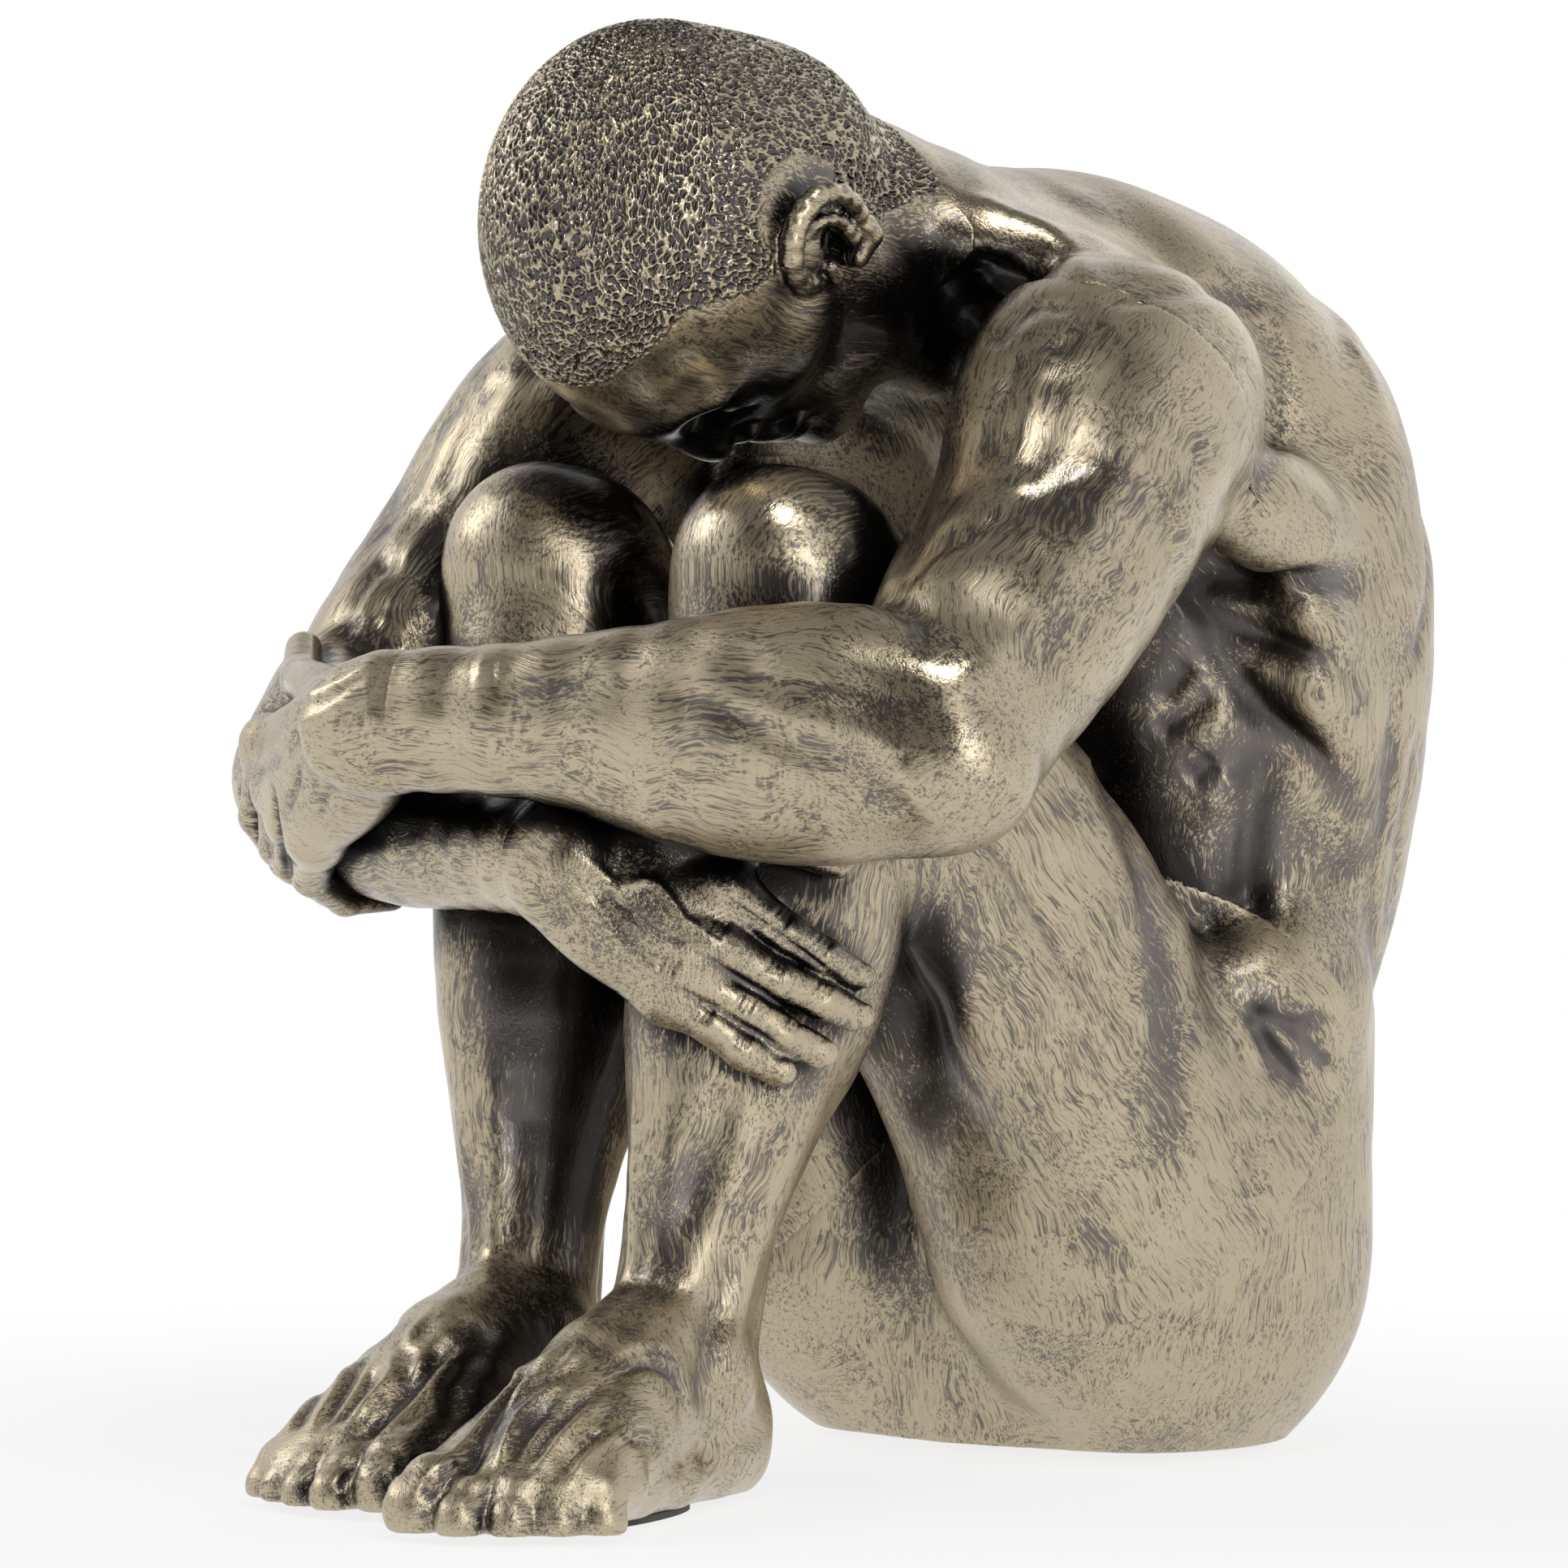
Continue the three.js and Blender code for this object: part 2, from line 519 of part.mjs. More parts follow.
// Skin of a field inside a box, as points and triangles
function skin(field, lo, hi, cell) {
  const block = Math.max(2, Math.round(BLOCK_SPAN / cell));
  const n = [0, 1, 2].map((i) => Math.ceil((hi[i] - lo[i]) / cell / block) * block + 1);
  const id = (i, j, k) => i + n[0] * (j + n[1] * k);
  const value = new Float32Array(n[0] * n[1] * n[2]).fill(NaN);
  const place = (i, j, k) => [lo[0] + i * cell, lo[1] + j * cell, lo[2] + k * cell];
  const far = block * cell * 1.7;
  const busy = [];
  for (let k = 0; k < n[2] - 1; k += block) {
    for (let j = 0; j < n[1] - 1; j += block) {
      for (let i = 0; i < n[0] - 1; i += block) {
        const middle = place(i + block / 2, j + block / 2, k + block / 2);
        if (Math.abs(field(middle)) < far) busy.push([i, j, k]);
      }
    }
  }
  for (const [i0, j0, k0] of busy) {
    for (let k = k0; k <= k0 + block; k++) {
      for (let j = j0; j <= j0 + block; j++) {
        for (let i = i0; i <= i0 + block; i++) {
          const q = id(i, j, k);
          if (!Number.isNaN(value[q])) continue;
          const edge = i === 0 || j === 0 || k === 0 || i === n[0] - 1 || j === n[1] - 1 || k === n[2] - 1;
          value[q] = edge ? cell : field(place(i, j, k));
        }
      }
    }
  }
  const points = [];
  const faces = [];
  const known = new Map();
  for (const [i0, j0, k0] of busy) {
    for (let k = k0; k < k0 + block; k++) {
      for (let j = j0; j < j0 + block; j++) {
        for (let i = i0; i < i0 + block; i++) polygonise(i, j, k);
      }
    }
  }
  function polygonise(i, j, k) {
    let code = 0;
    const v = CORNERS.map(([a, b, c], m) => {
      const d = value[id(i + a, j + b, k + c)];
      if (d < 0) code |= 1 << m;
      return d;
    });
    if (edgeTable[code] === 0) return;
    const at = EDGES.map(([a, b], e) => {
      if (!(edgeTable[code] & (1 << e))) return -1;
      const A = CORNERS[a];
      const B = CORNERS[b];
      const ia = id(i + A[0], j + A[1], k + A[2]);
      const ib = id(i + B[0], j + B[1], k + B[2]);
      const axis = [0, 1, 2].find((x) => A[x] !== B[x]);
      const key = Math.min(ia, ib) * 3 + axis;
      if (!known.has(key)) {
        const t = Math.min(0.95, Math.max(0.05, v[a] / (v[a] - v[b])));
        known.set(key, points.length);
        points.push(mix(place(i + A[0], j + A[1], k + A[2]), place(i + B[0], j + B[1], k + B[2]), t));
      }
      return known.get(key);
    });
    for (let t = code * 16; triTable[t] !== -1; t += 3) {
      faces.push([at[triTable[t]], at[triTable[t + 2]], at[triTable[t + 1]]]);
    }
  }
  return { points, faces };
}

// Fewer faces: the flattest edges are drawn together until the wanted count is left
function thin(mesh, wanted) {
  const points = mesh.points.map((p) => p.slice());
  const faces = mesh.faces.map((f) => f.slice());
  const around = points.map(() => new Set());
  const form = points.map(() => new Float64Array(10));
  const normalOf = (f, moved, to) => {
    const [a, b, c] = f.map((v) => (v === moved ? to : points[v]));
    return cross(sub(b, a), sub(c, a));
  };
  faces.forEach((f, i) => {
    const raw = normalOf(f, -1);
    const area = len(raw);
    for (const v of f) around[v].add(i);
    if (area < 1e-9) return;
    const n = mul(raw, 1 / area);
    const w = -dot(n, points[f[0]]);
    const [x, y, z] = n;
    const q = [x * x, x * y, x * z, x * w, y * y, y * z, y * w, z * z, z * w, w * w];
    for (const v of f) for (let m = 0; m < 10; m++) form[v][m] += q[m] * area;
  });
  const cost = (q, [x, y, z]) =>
    q[0] * x * x + 2 * q[1] * x * y + 2 * q[2] * x * z + 2 * q[3] * x + q[4] * y * y +
    2 * q[5] * y * z + 2 * q[6] * y + q[7] * z * z + 2 * q[8] * z + q[9];
  const stamp = new Int32Array(points.length);
  const heap = [];
  const less = (a, b) => heap[a].c < heap[b].c;
  const swap = (a, b) => {
    const t = heap[a];
    heap[a] = heap[b];
    heap[b] = t;
  };
  const rise = (i) => {
    while (i > 0 && less(i, (i - 1) >> 1)) {
      swap(i, (i - 1) >> 1);
      i = (i - 1) >> 1;
    }
  };
  const sink = (i) => {
    for (;;) {
      let m = i;
      if (2 * i + 1 < heap.length && less(2 * i + 1, m)) m = 2 * i + 1;
      if (2 * i + 2 < heap.length && less(2 * i + 2, m)) m = 2 * i + 2;
      if (m === i) return;
      swap(i, m);
      i = m;
    }
  };
  const take = () => {
    const top = heap[0];
    const last = heap.pop();
    if (heap.length) {
      heap[0] = last;
      sink(0);
    }
    return top;
  };
  const offer = (a, b) => {
    const q = form[a].map((x, m) => x + form[b][m]);
    const spots = [mix(points[a], points[b], 0.5), points[a], points[b]];
    const c0 = [q[0], q[1], q[2]];
    const c1 = [q[1], q[4], q[5]];
    const c2 = [q[2], q[5], q[7]];
    const det = dot(c0, cross(c1, c2));
    if (Math.abs(det) > 1e-3) {
      const r = [-q[3], -q[6], -q[8]];
      const p = [dot(r, cross(c1, c2)) / det, dot(c0, cross(r, c2)) / det, dot(c0, cross(c1, r)) / det];
      if (len(sub(p, spots[0])) < len(sub(points[a], points[b])) * 1.5) spots.push(p);
    }
    let best = spots[0];
    for (const p of spots) if (cost(q, p) < cost(q, best)) best = p;
    const stretch = len(sub(points[a], points[b]));
    const c = cost(q, best) + stretch ** 3 * 0.002;
    heap.push({ a, b, p: best, c, s: stamp[a] + stamp[b] });
    rise(heap.length - 1);
  };
  const ring = (v) => {
    const set = new Set();
    for (const f of around[v]) for (const w of faces[f]) if (w !== v) set.add(w);
    return set;
  };
  points.forEach((_, a) => ring(a).forEach((b) => b > a && offer(a, b)));
  const dead = new Uint8Array(points.length);
  let left = faces.length;
  while (left > wanted && heap.length) {
    const e = take();
    if (dead[e.a] || dead[e.b] || e.s !== stamp[e.a] + stamp[e.b]) continue;
    const shared = [...ring(e.a)].filter((v) => ring(e.b).has(v));
    if (shared.length !== 2) continue;
    const turns = (v, w) =>
      [...around[v]].some((f) => {
        if (faces[f].includes(w)) return false;
        const before = normalOf(faces[f], -1);
        const after = normalOf(faces[f], v, e.p);
        return dot(before, after) < 0.25 * len(before) * len(after) || len(after) < 1e-3;
      });
    if (turns(e.a, e.b) || turns(e.b, e.a)) continue;
    for (const f of [...around[e.b]]) {
      if (faces[f].includes(e.a)) {
        for (const v of faces[f]) around[v].delete(f);
        faces[f] = null;
        left--;
      } else {
        faces[f] = faces[f].map((v) => (v === e.b ? e.a : v));
        around[e.a].add(f);
      }
    }
    points[e.a] = e.p;
    for (let m = 0; m < 10; m++) form[e.a][m] += form[e.b][m];
    dead[e.b] = 1;
    stamp[e.a]++;
    const near = ring(e.a);
    near.forEach((v) => offer(e.a, v));
  }
  return pack(points, faces.filter(Boolean));
}
// Drops unused points and every loose crumb beside the main body
function pack(points, faces) {
  const parent = points.map((_, i) => i);
  const root = (i) => {
    while (parent[i] !== i) {
      parent[i] = parent[parent[i]];
      i = parent[i];
    }
    return i;
  };
  for (const [a, b, c] of faces) {
    parent[root(a)] = root(b);
    parent[root(b)] = root(c);
  }
  const size = new Map();
  for (const f of faces) {
    const [a, b, c] = f.map((v) => points[v]);
    size.set(root(f[0]), (size.get(root(f[0])) || 0) + dot(a, cross(b, c)));
  }
  const main = [...size.entries()].sort((x, y) => y[1] - x[1])[0][0];
  const kept = faces.filter((f) => root(f[0]) === main);
  const index = new Map();
  const used = [];
  const out = kept.map((f) =>
    f.map((v) => {
      if (!index.has(v)) {
        index.set(v, used.length);
        used.push(points[v]);
      }
      return index.get(v);
    }),
  );
  return { points: used, faces: out };
}

// Solids
function solid({ points, faces }) {
  return new Manifold(
    new Mesh({
      numProp: 3,
      vertProperties: Float32Array.from(points.flat()),
      triVerts: Uint32Array.from(faces.flat()),
    }),
  );
}
function open(body) {
  const m = body.getMesh();
  const points = [];
  for (let i = 0; i < m.vertProperties.length; i += m.numProp) {
    points.push(Array.from(m.vertProperties.slice(i, i + 3)));
  }
  const faces = [];
  for (let i = 0; i < m.triVerts.length; i += 3) faces.push(Array.from(m.triVerts.slice(i, i + 3)));
  return weld(points, faces);
}
// Joins points closer than the working tolerance and drops what that flattens
const WELD = 0.015;
function weld(points, faces) {
  const cellOf = (p) => p.map((x) => Math.round(x / WELD)).join(' ');
  const seen = new Map();
  const where = points.map((p) => {
    const key = cellOf(p);
    if (!seen.has(key)) seen.set(key, seen.size);
    return seen.get(key);
  });
  const out = [];
  points.forEach((p, i) => {
    if (!out[where[i]]) out[where[i]] = p;
  });
  const kept = faces.map((f) => f.map((v) => where[v])).filter(([a, b, c]) => a !== b && b !== c && a !== c);
  return { points: out, faces: kept };
}
// The same body with every point moved out along its normal
function grown(body, by) {
  const { points, faces } = open(body);
  const normals = points.map(() => [0, 0, 0]);
  for (const f of faces) {
    const [a, b, c] = f.map((v) => points[v]);
    const n = cross(sub(b, a), sub(c, a));
    for (const v of f) normals[v] = add(normals[v], n);
  }
  return solid({ points: points.map((p, i) => add(p, mul(unit(normals[i]), by))), faces });
}
function fromGeometry(geometry) {
  const g = geometry.index ? geometry.toNonIndexed() : geometry;
  const at = g.attributes.position;
  const points = [];
  const faces = [];
  for (let i = 0; i < at.count; i++) points.push([at.getX(i), at.getY(i), at.getZ(i)]);
  for (let i = 0; i < at.count; i += 3) faces.push([i, i + 1, i + 2]);
  const cleaned = weld(points, faces);
  return solid(cleaned);
}
// A geometry built along +Z, turned to a direction and moved to a point
function aimed(geometry, direction, place) {
  const upright = new THREE.Vector3(0, 0, 1);
  const q = new THREE.Quaternion().setFromUnitVectors(upright, new THREE.Vector3(...direction));
  geometry.applyQuaternion(q);
  geometry.translate(...place);
  return fromGeometry(geometry);
}
const DOWEL_SIDES = 20;
function rod(centre, direction, radius, low, high) {
  const g = new THREE.CylinderGeometry(radius, radius, high - low, DOWEL_SIDES);
  g.rotateX(Math.PI / 2);
  g.translate(0, 0, (high + low) / 2);
  return aimed(g, direction, centre);
}
const BIG = 400;
function halfSpace(centre, direction, from) {
  const g = new THREE.BoxGeometry(BIG, BIG, BIG);
  g.translate(0, 0, from - BIG / 2);
  return aimed(g, direction, centre);
}
function bowl(j) {
  const r = j.radius + GAP;
  const g = new THREE.SphereGeometry(r, 24, 12);
  g.rotateX(Math.PI / 2);
  return aimed(g, j.normal, j.centre).subtract(halfSpace(j.centre, j.normal, 0));
}

// Build
const FELT = 1;
const BASE = FELT + GAP;
const BOXES = {
  torso: [[-84, -92, -6], [84, 78, 218], 3.4, 2000],
  head: [[-34, -136, 150], [34, -30, 232], 2.6, 1000],
  leg_L: [[-16, -186, -4], [66, 50, 166], 2.7, 1900],
  leg_R: [[-66, -176, -4], [20, 50, 166], 2.7, 1860],
  arm_L: [[-30, -170, 86], [100, -6, 200], 2.7, 800],
  arm_R: [[-100, -150, 80], [34, -6, 202], 2.7, 800],
  hand_L: [[-72, -164, 70], [16, -92, 140], 1.7, 1100],
  hand_R: [[-10, -148, 54], [60, -84, 116], 1.7, 1100],
};
const LABEL = {
  torso: 'torso_casting',
  head: 'head_casting',
  leg_L: 'left_leg_casting',
  leg_R: 'right_leg_casting',
  arm_L: 'left_arm_casting',
  arm_R: 'right_arm_casting',
  hand_L: 'left_hand_casting',
  hand_R: 'right_hand_casting',
};
const sound = (body) => {
  const { points, faces } = open(body);
  return solid(pack(points, faces));
};
const bodies = {};
const floorCut = halfSpace([0, 0, BASE], [0, 0, 1], 0);
for (const [name, [lo, hi, cell, faces]] of Object.entries(BOXES)) {
  const raw = skin(casting(name), lo, hi, cell);
  const main = pack(raw.points, raw.faces);
  let body = solid(thin(main, faces)).subtract(floorCut);
  for (const j of Object.values(JOINTS)) {
    if (j.inner === name) body = body.subtract(bowl(j));
    if (j.outer === name) body = body.subtract(halfSpace(j.centre, j.normal, GAP));
  }
  bodies[name] = sound(body);
}

// Clearance cuts where castings lie against each other: piece, then those that it yields to
const YIELDS = [
  ['leg_L', ['torso']],
  ['leg_R', ['torso', 'leg_L']],
  ['head', ['torso', 'leg_L', 'leg_R']],
  ['arm_R', ['torso', 'leg_R', 'leg_L', 'head']],
  ['hand_R', ['leg_L', 'leg_R', 'arm_R']],
  ['arm_L', ['torso', 'leg_L', 'leg_R', 'head', 'arm_R', 'hand_R']],
  ['hand_L', ['arm_R', 'arm_L', 'leg_R', 'leg_L', 'hand_R']],
];
const CLEAR = 0.27;
for (const [name, others] of YIELDS) {
  for (const other of others) {
    bodies[name] = bodies[name].subtract(grown(bodies[other], CLEAR)).subtract(bodies[other]);
  }
  bodies[name] = sound(bodies[name]);
}

// Hollow of the torso, open at the seat, with a ledge that carries the plug
const PLUG = { radius: 15, depth: 5, y: 11 };
const HOLLOW = [
  [0, -2],
  [PLUG.radius + GAP, -2],
  [PLUG.radius + GAP, BASE + PLUG.depth + GAP],
  [PLUG.radius - 2, BASE + PLUG.depth + GAP],
  [PLUG.radius - 1, 30],
  [19, 56],
  [23, 90],
  [24, 118],
  [19, 138],
  [10, 147],
  [0, 149],
];
const lathe = new THREE.LatheGeometry(HOLLOW.map(([r, z]) => new THREE.Vector2(r, z)), 28);
lathe.rotateX(Math.PI / 2);
lathe.translate(0, PLUG.y, 0);
bodies.torso = bodies.torso.subtract(fromGeometry(lathe));

// Dowels and their blind holes
const dowels = {};
for (const [name, j] of Object.entries(JOINTS)) {
  const [radius, half] = j.dowel;
  dowels[name + '_dowel'] = rod(j.centre, j.normal, radius, GAP / 2 - half, GAP / 2 + half);
  const hole = rod(j.centre, j.normal, radius + DOWEL_SLOP, GAP / 2 - half - GAP, GAP / 2 + half + GAP);
  bodies[j.inner] = bodies[j.inner].subtract(hole);
  bodies[j.outer] = bodies[j.outer].subtract(hole);
}

// Seat plug and felt pads
function oval(x, y, rx, ry, low, high, angle) {
  const outline = new THREE.Shape();
  outline.absellipse(0, 0, rx, ry, 0, Math.PI * 2, false, angle);
  const g = new THREE.ExtrudeGeometry(outline, { depth: high - low, bevelEnabled: false, curveSegments: 20 });
  g.translate(x, y, low);
  return fromGeometry(g);
}
const footPad = (S) => {
  const b = footFrame(S);
  const c = onFoot(b, 22, 0, 0);
  return oval(c[0], c[1], 8, 24, 0, FELT, Math.atan2(-b.u[0], -b.u[1]) * -1);
};
const small = {
  seat_plug: oval(0, PLUG.y, PLUG.radius, PLUG.radius, BASE, BASE + PLUG.depth, 0),
  seat_felt_pad: oval(0, PLUG.y, 30, 19, 0, FELT, 0),
  left_foot_felt_pad: footPad('L'),
  right_foot_felt_pad: footPad('R'),
};

// Finished group
const BRONZE = new THREE.MeshStandardMaterial({ color: 0x8a7a55, roughness: 0.32, metalness: 0.9 });
const STEEL = new THREE.MeshStandardMaterial({ color: 0x9a9a9a, roughness: 0.4, metalness: 0.9 });
const RESIN = new THREE.MeshStandardMaterial({ color: 0x5c5346, roughness: 0.7, metalness: 0.1 });
const FELT_FINISH = new THREE.MeshStandardMaterial({ color: 0x2a2622, roughness: 1, metalness: 0 });
const group = new THREE.Group();
function finish(name, body, material) {
  const { points, faces } = open(body);
  const g = new THREE.BufferGeometry();
  g.setAttribute('position', new THREE.Float32BufferAttribute(points.flat(), 3));
  g.setIndex(faces.flat());
  g.computeVertexNormals();
  const mesh = new THREE.Mesh(g, material);
  mesh.name = name;
  group.add(mesh);
}
for (const name of Object.keys(LABEL)) finish(LABEL[name], sound(bodies[name]), BRONZE);
for (const [name, body] of Object.entries(dowels)) finish(name, body, STEEL);
finish('seat_plug', small.seat_plug, RESIN);
finish('seat_felt_pad', small.seat_felt_pad, FELT_FINISH);
finish('left_foot_felt_pad', small.left_foot_felt_pad, FELT_FINISH);
finish('right_foot_felt_pad', small.right_foot_felt_pad, FELT_FINISH);

// Origin under the middle of the figure
const box = new THREE.Box3().setFromObject(group);
const middle = box.getCenter(new THREE.Vector3());
for (const mesh of group.children) mesh.geometry.translate(-middle.x, -middle.y, -box.min.z);

export default group;
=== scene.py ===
# Looks of the seated figure: finely sculpted castings with an antique bronze finish,
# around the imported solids
import math
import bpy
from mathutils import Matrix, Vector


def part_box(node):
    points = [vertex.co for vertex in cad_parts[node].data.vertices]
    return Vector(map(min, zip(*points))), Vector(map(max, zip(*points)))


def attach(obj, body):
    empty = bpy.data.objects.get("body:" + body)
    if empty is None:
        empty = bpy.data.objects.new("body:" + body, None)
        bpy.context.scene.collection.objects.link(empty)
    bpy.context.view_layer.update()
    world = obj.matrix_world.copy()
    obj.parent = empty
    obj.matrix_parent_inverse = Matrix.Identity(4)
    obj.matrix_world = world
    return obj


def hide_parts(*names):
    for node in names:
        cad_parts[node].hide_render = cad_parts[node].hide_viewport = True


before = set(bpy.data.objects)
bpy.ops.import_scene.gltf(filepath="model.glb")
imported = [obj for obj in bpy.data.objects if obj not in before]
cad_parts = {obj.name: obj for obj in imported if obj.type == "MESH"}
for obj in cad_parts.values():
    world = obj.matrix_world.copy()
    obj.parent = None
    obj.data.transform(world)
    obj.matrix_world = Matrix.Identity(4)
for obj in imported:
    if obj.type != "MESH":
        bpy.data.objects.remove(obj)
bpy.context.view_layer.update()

from concurrent.futures import ThreadPoolExecutor

import bpy
import numpy as np
import openvdb
from mathutils import Matrix, Vector

MM = 0.001
FAR = 60.0
# How far outside its box a form is still counted, beside the softness of its joins
reach = [9.5]


# Vectors
def vec(*xyz):
    return np.array(xyz, float)


def unit(v):
    v = np.asarray(v, float)
    return v / np.linalg.norm(v)


def mix(a, b, t):
    return np.asarray(a, float) * (1 - t) + np.asarray(b, float) * t


# Joint centres of the figure in millimetres, hips over the origin
JOINT = {
    "hip": {"L": vec(27, 0, 30), "R": vec(-27, 0, 30)},
    "knee": {"L": vec(20, -84, 138), "R": vec(-33, -79.5, 139)},
    "ankle": {"L": vec(22.5, -114, 21), "R": vec(-20, -102, 22)},
    "toe": {"L": vec(38, -170, 5), "R": vec(-8, -155, 5)},
    "shoulder": {"L": vec(49, -36, 167), "R": vec(-57, -37, 168)},
    "elbow": {"L": vec(68.5, -106.5, 114), "R": vec(-60, -101.5, 110.5)},
    "wrist": {"L": vec(-9, -142, 118), "R": vec(11, -127, 96.5)},
}
SKULL = vec(1, -87.5, 191)
SIDES = (("L", 1), ("R", -1))
FORWARD = vec(0, -1, 0)
UP = vec(0, 0, 1)


class Bone:
    """A long axis with its front and outer directions."""

    def __init__(self, start, end, front, outer):
        self.start = np.asarray(start, float)
        self.span = np.asarray(end, float) - self.start
        self.u = unit(self.span)
        self.f = unit(front - self.u * np.dot(front, self.u))
        side = np.cross(self.u, self.f)
        self.o = -side if np.dot(side, outer) < 0 else side

    def at(self, out, front, t):
        return self.start + self.span * t + self.o * out + self.f * front

    def local(self, p):
        q = p - self.start
        l2 = np.dot(self.span, self.span)
        return np.stack([q @ self.o, q @ self.f, (q @ self.span) / l2], -1)


# Signed distances, on many points at once
def smooth_min(a, b, k):
    h = np.maximum(k - np.abs(a - b), 0) / k
    return np.minimum(a, b) - h * h * (k * 0.25)


def smooth_max(a, b, k):
    return -smooth_min(-a, -b, k)


def scaled_distance(x, y, z, rx, ry, rz):
    x, y, z = x / rx, y / ry, z / rz
    k0 = np.sqrt(x * x + y * y + z * z) + 1e-6
    x, y, z = x / rx, y / ry, z / rz
    k1 = np.sqrt(x * x + y * y + z * z) + 1e-9
    return k0 * (k0 - 1) / k1


class Mass:
    """One rounded form: its distance function, its box, how softly it joins, whether it cuts."""

    def __init__(self, fn, lo, hi, k, carve=False):
        self.fn, self.lo, self.hi, self.k, self.carve = fn, lo, hi, k, carve


def clear_of(lo, hi, a, b, k):
    far = reach[0] + 0.85 * k
    for i in range(3):
        if lo[i] - far > b[i] or hi[i] + far < a[i]:
            return True
    return False


def muscle(a, b, wide, deep, face, k):
    a, b = np.asarray(a, float), np.asarray(b, float)
    u = unit(b - a)
    f = unit(face - u * np.dot(face, u))
    o = np.cross(u, f)
    middle = (a + b) / 2
    half = np.linalg.norm(b - a) / 2
    size = np.abs(u) * half + np.abs(f) * deep + np.abs(o) * wide
    turn = np.stack([o, f, u], 1).astype(np.float32)
    m = middle.astype(np.float32)

    def fn(p, lo, hi):
        q = (p - m) @ turn
        return scaled_distance(q[:, 0], q[:, 1], q[:, 2], wide, deep, half)

    return Mass(fn, middle - size, middle + size, k)


def ball(c, r, k, carve=False):
    c = np.asarray(c, float)
    m = c.astype(np.float32)
    return Mass(lambda p, lo, hi: np.sqrt(((p - m) ** 2).sum(1)) - r, c - r, c + r, k, carve)


def between(a, b, c, d, t):
    t2, t3 = t * t, t * t * t
    return (
        (2 * t3 - 3 * t2 + 1) * b
        + (t3 - 2 * t2 + t) * (c - a) / 2
        + (-2 * t3 + 3 * t2) * c
        + (t3 - t2) * (d - b) / 2
    )


def curve_through(points, step):
    """Points on a smooth line through the given ones, about a step apart."""
    points = np.asarray(points, float)
    pad = np.vstack([2 * points[0] - points[1], points, 2 * points[-1] - points[-2]])
    out = []
    for i in range(len(points) - 1):
        count = max(1, int(np.linalg.norm(points[i + 1] - points[i]) / step))
        out += [between(*pad[i : i + 4], j / count) for j in range(count)]
    return np.array(out + [points[-1]])


def limb(sections, face, k, steps=2):
    table = np.array([[*p, w, h] for p, w, h in sections], float)
    pad = np.vstack([table[:1], table, table[-1:]])
    rows = [
        between(*pad[i : i + 4], j / steps) for i in range(len(table) - 1) for j in range(steps)
    ]
    rows.append(table[-1])
    parts = []
    for a, b in zip(rows, rows[1:]):
        span = b[:3] - a[:3]
        length = np.linalg.norm(span)
        u = span / length
        f = unit(face - u * np.dot(face, u))
        r = max(a[3], a[4], b[3], b[4])
        turn = np.stack([np.cross(u, f), f, u], 1).astype(np.float32)
        lo = np.minimum(a[:3], b[:3]) - r
        hi = np.maximum(a[:3], b[:3]) + r
        parts.append((a.astype(np.float32), b.astype(np.float32), turn, np.float32(length), lo, hi))

    def fn(p, lo, hi):
        best = np.full(len(p), FAR, np.float32)
        for a, b, turn, length, plo, phi in parts:
            if clear_of(plo, phi, lo, hi, 1.5):
                continue
            q = (p - a[:3]) @ turn
            t = np.clip(q[:, 2] / length, 0, 1)
            wide = a[3] + (b[3] - a[3]) * t
            deep = a[4] + (b[4] - a[4]) * t
            d = scaled_distance(q[:, 0], q[:, 1], q[:, 2] - t * length, wide, deep, (wide + deep) / 2)
            best = smooth_min(best, d, 1.5)
        return best

    return Mass(fn, np.min([x[4] for x in parts], 0), np.max([x[5] for x in parts], 0), k)


def digit(joints, k, carve=False, soft=0.8):
    parts = []
    for (a, ra), (b, rb) in zip(joints, joints[1:]):
        a, b = np.asarray(a, float), np.asarray(b, float)
        r = max(ra, rb)
        parts.append((
            a.astype(np.float32), (b - a).astype(np.float32), ra, rb,
            np.minimum(a, b) - r, np.maximum(a, b) + r,
        ))

    def fn(p, lo, hi):
        best = np.full(len(p), FAR, np.float32)
        for a, s, ra, rb, plo, phi in parts:
            if clear_of(plo, phi, lo, hi, 1.5):
                continue
            q = p - a
            t = np.clip((q @ s) / np.dot(s, s), 0, 1)
            d = np.sqrt(((q - t[:, None] * s) ** 2).sum(1)) - (ra + (rb - ra) * t)
            best = smooth_min(best, d, soft)
        return best

    return Mass(fn, np.min([x[4] for x in parts], 0), np.max([x[5] for x in parts], 0), k, carve)


def groove(points, r, k):
    return digit([(p, r) for p in points], k, carve=True)


def shape(masses):
    def fn(p, lo, hi):
        d = np.full(len(p), FAR, np.float32)
        for m in masses:
            if clear_of(m.lo, m.hi, lo, hi, m.k):
                continue
            v = m.fn(p, lo, hi)
            d = smooth_max(d, -v, m.k) if m.carve else smooth_min(d, v, m.k)
        return d

    return fn


EVERYWHERE = (vec(-1e6, -1e6, -1e6), vec(1e6, 1e6, 1e6))


def probe(field, points):
    """The field at a few loose points, with no form left out."""
    return field(np.asarray(points, np.float32).reshape(-1, 3), *EVERYWHERE)


# Trunk: sections from seat to neck, y, z, half width, half depth
TRUNK = [
    [4.5, 16, 42.5, 30.5],
    [9, 36, 50, 36.5],
    [13, 56, 50, 36],
    [17.5, 76, 47, 35],
    [20.5, 100, 50, 40],
    [20.5, 126, 54.5, 42],
    [15.5, 150, 55.5, 41],
    [2.5, 169, 47.5, 32.5],
    [-24, 185, 30, 20],
    [-48, 193.5, 20, 18],
    [-59, 193, 18, 17],
]


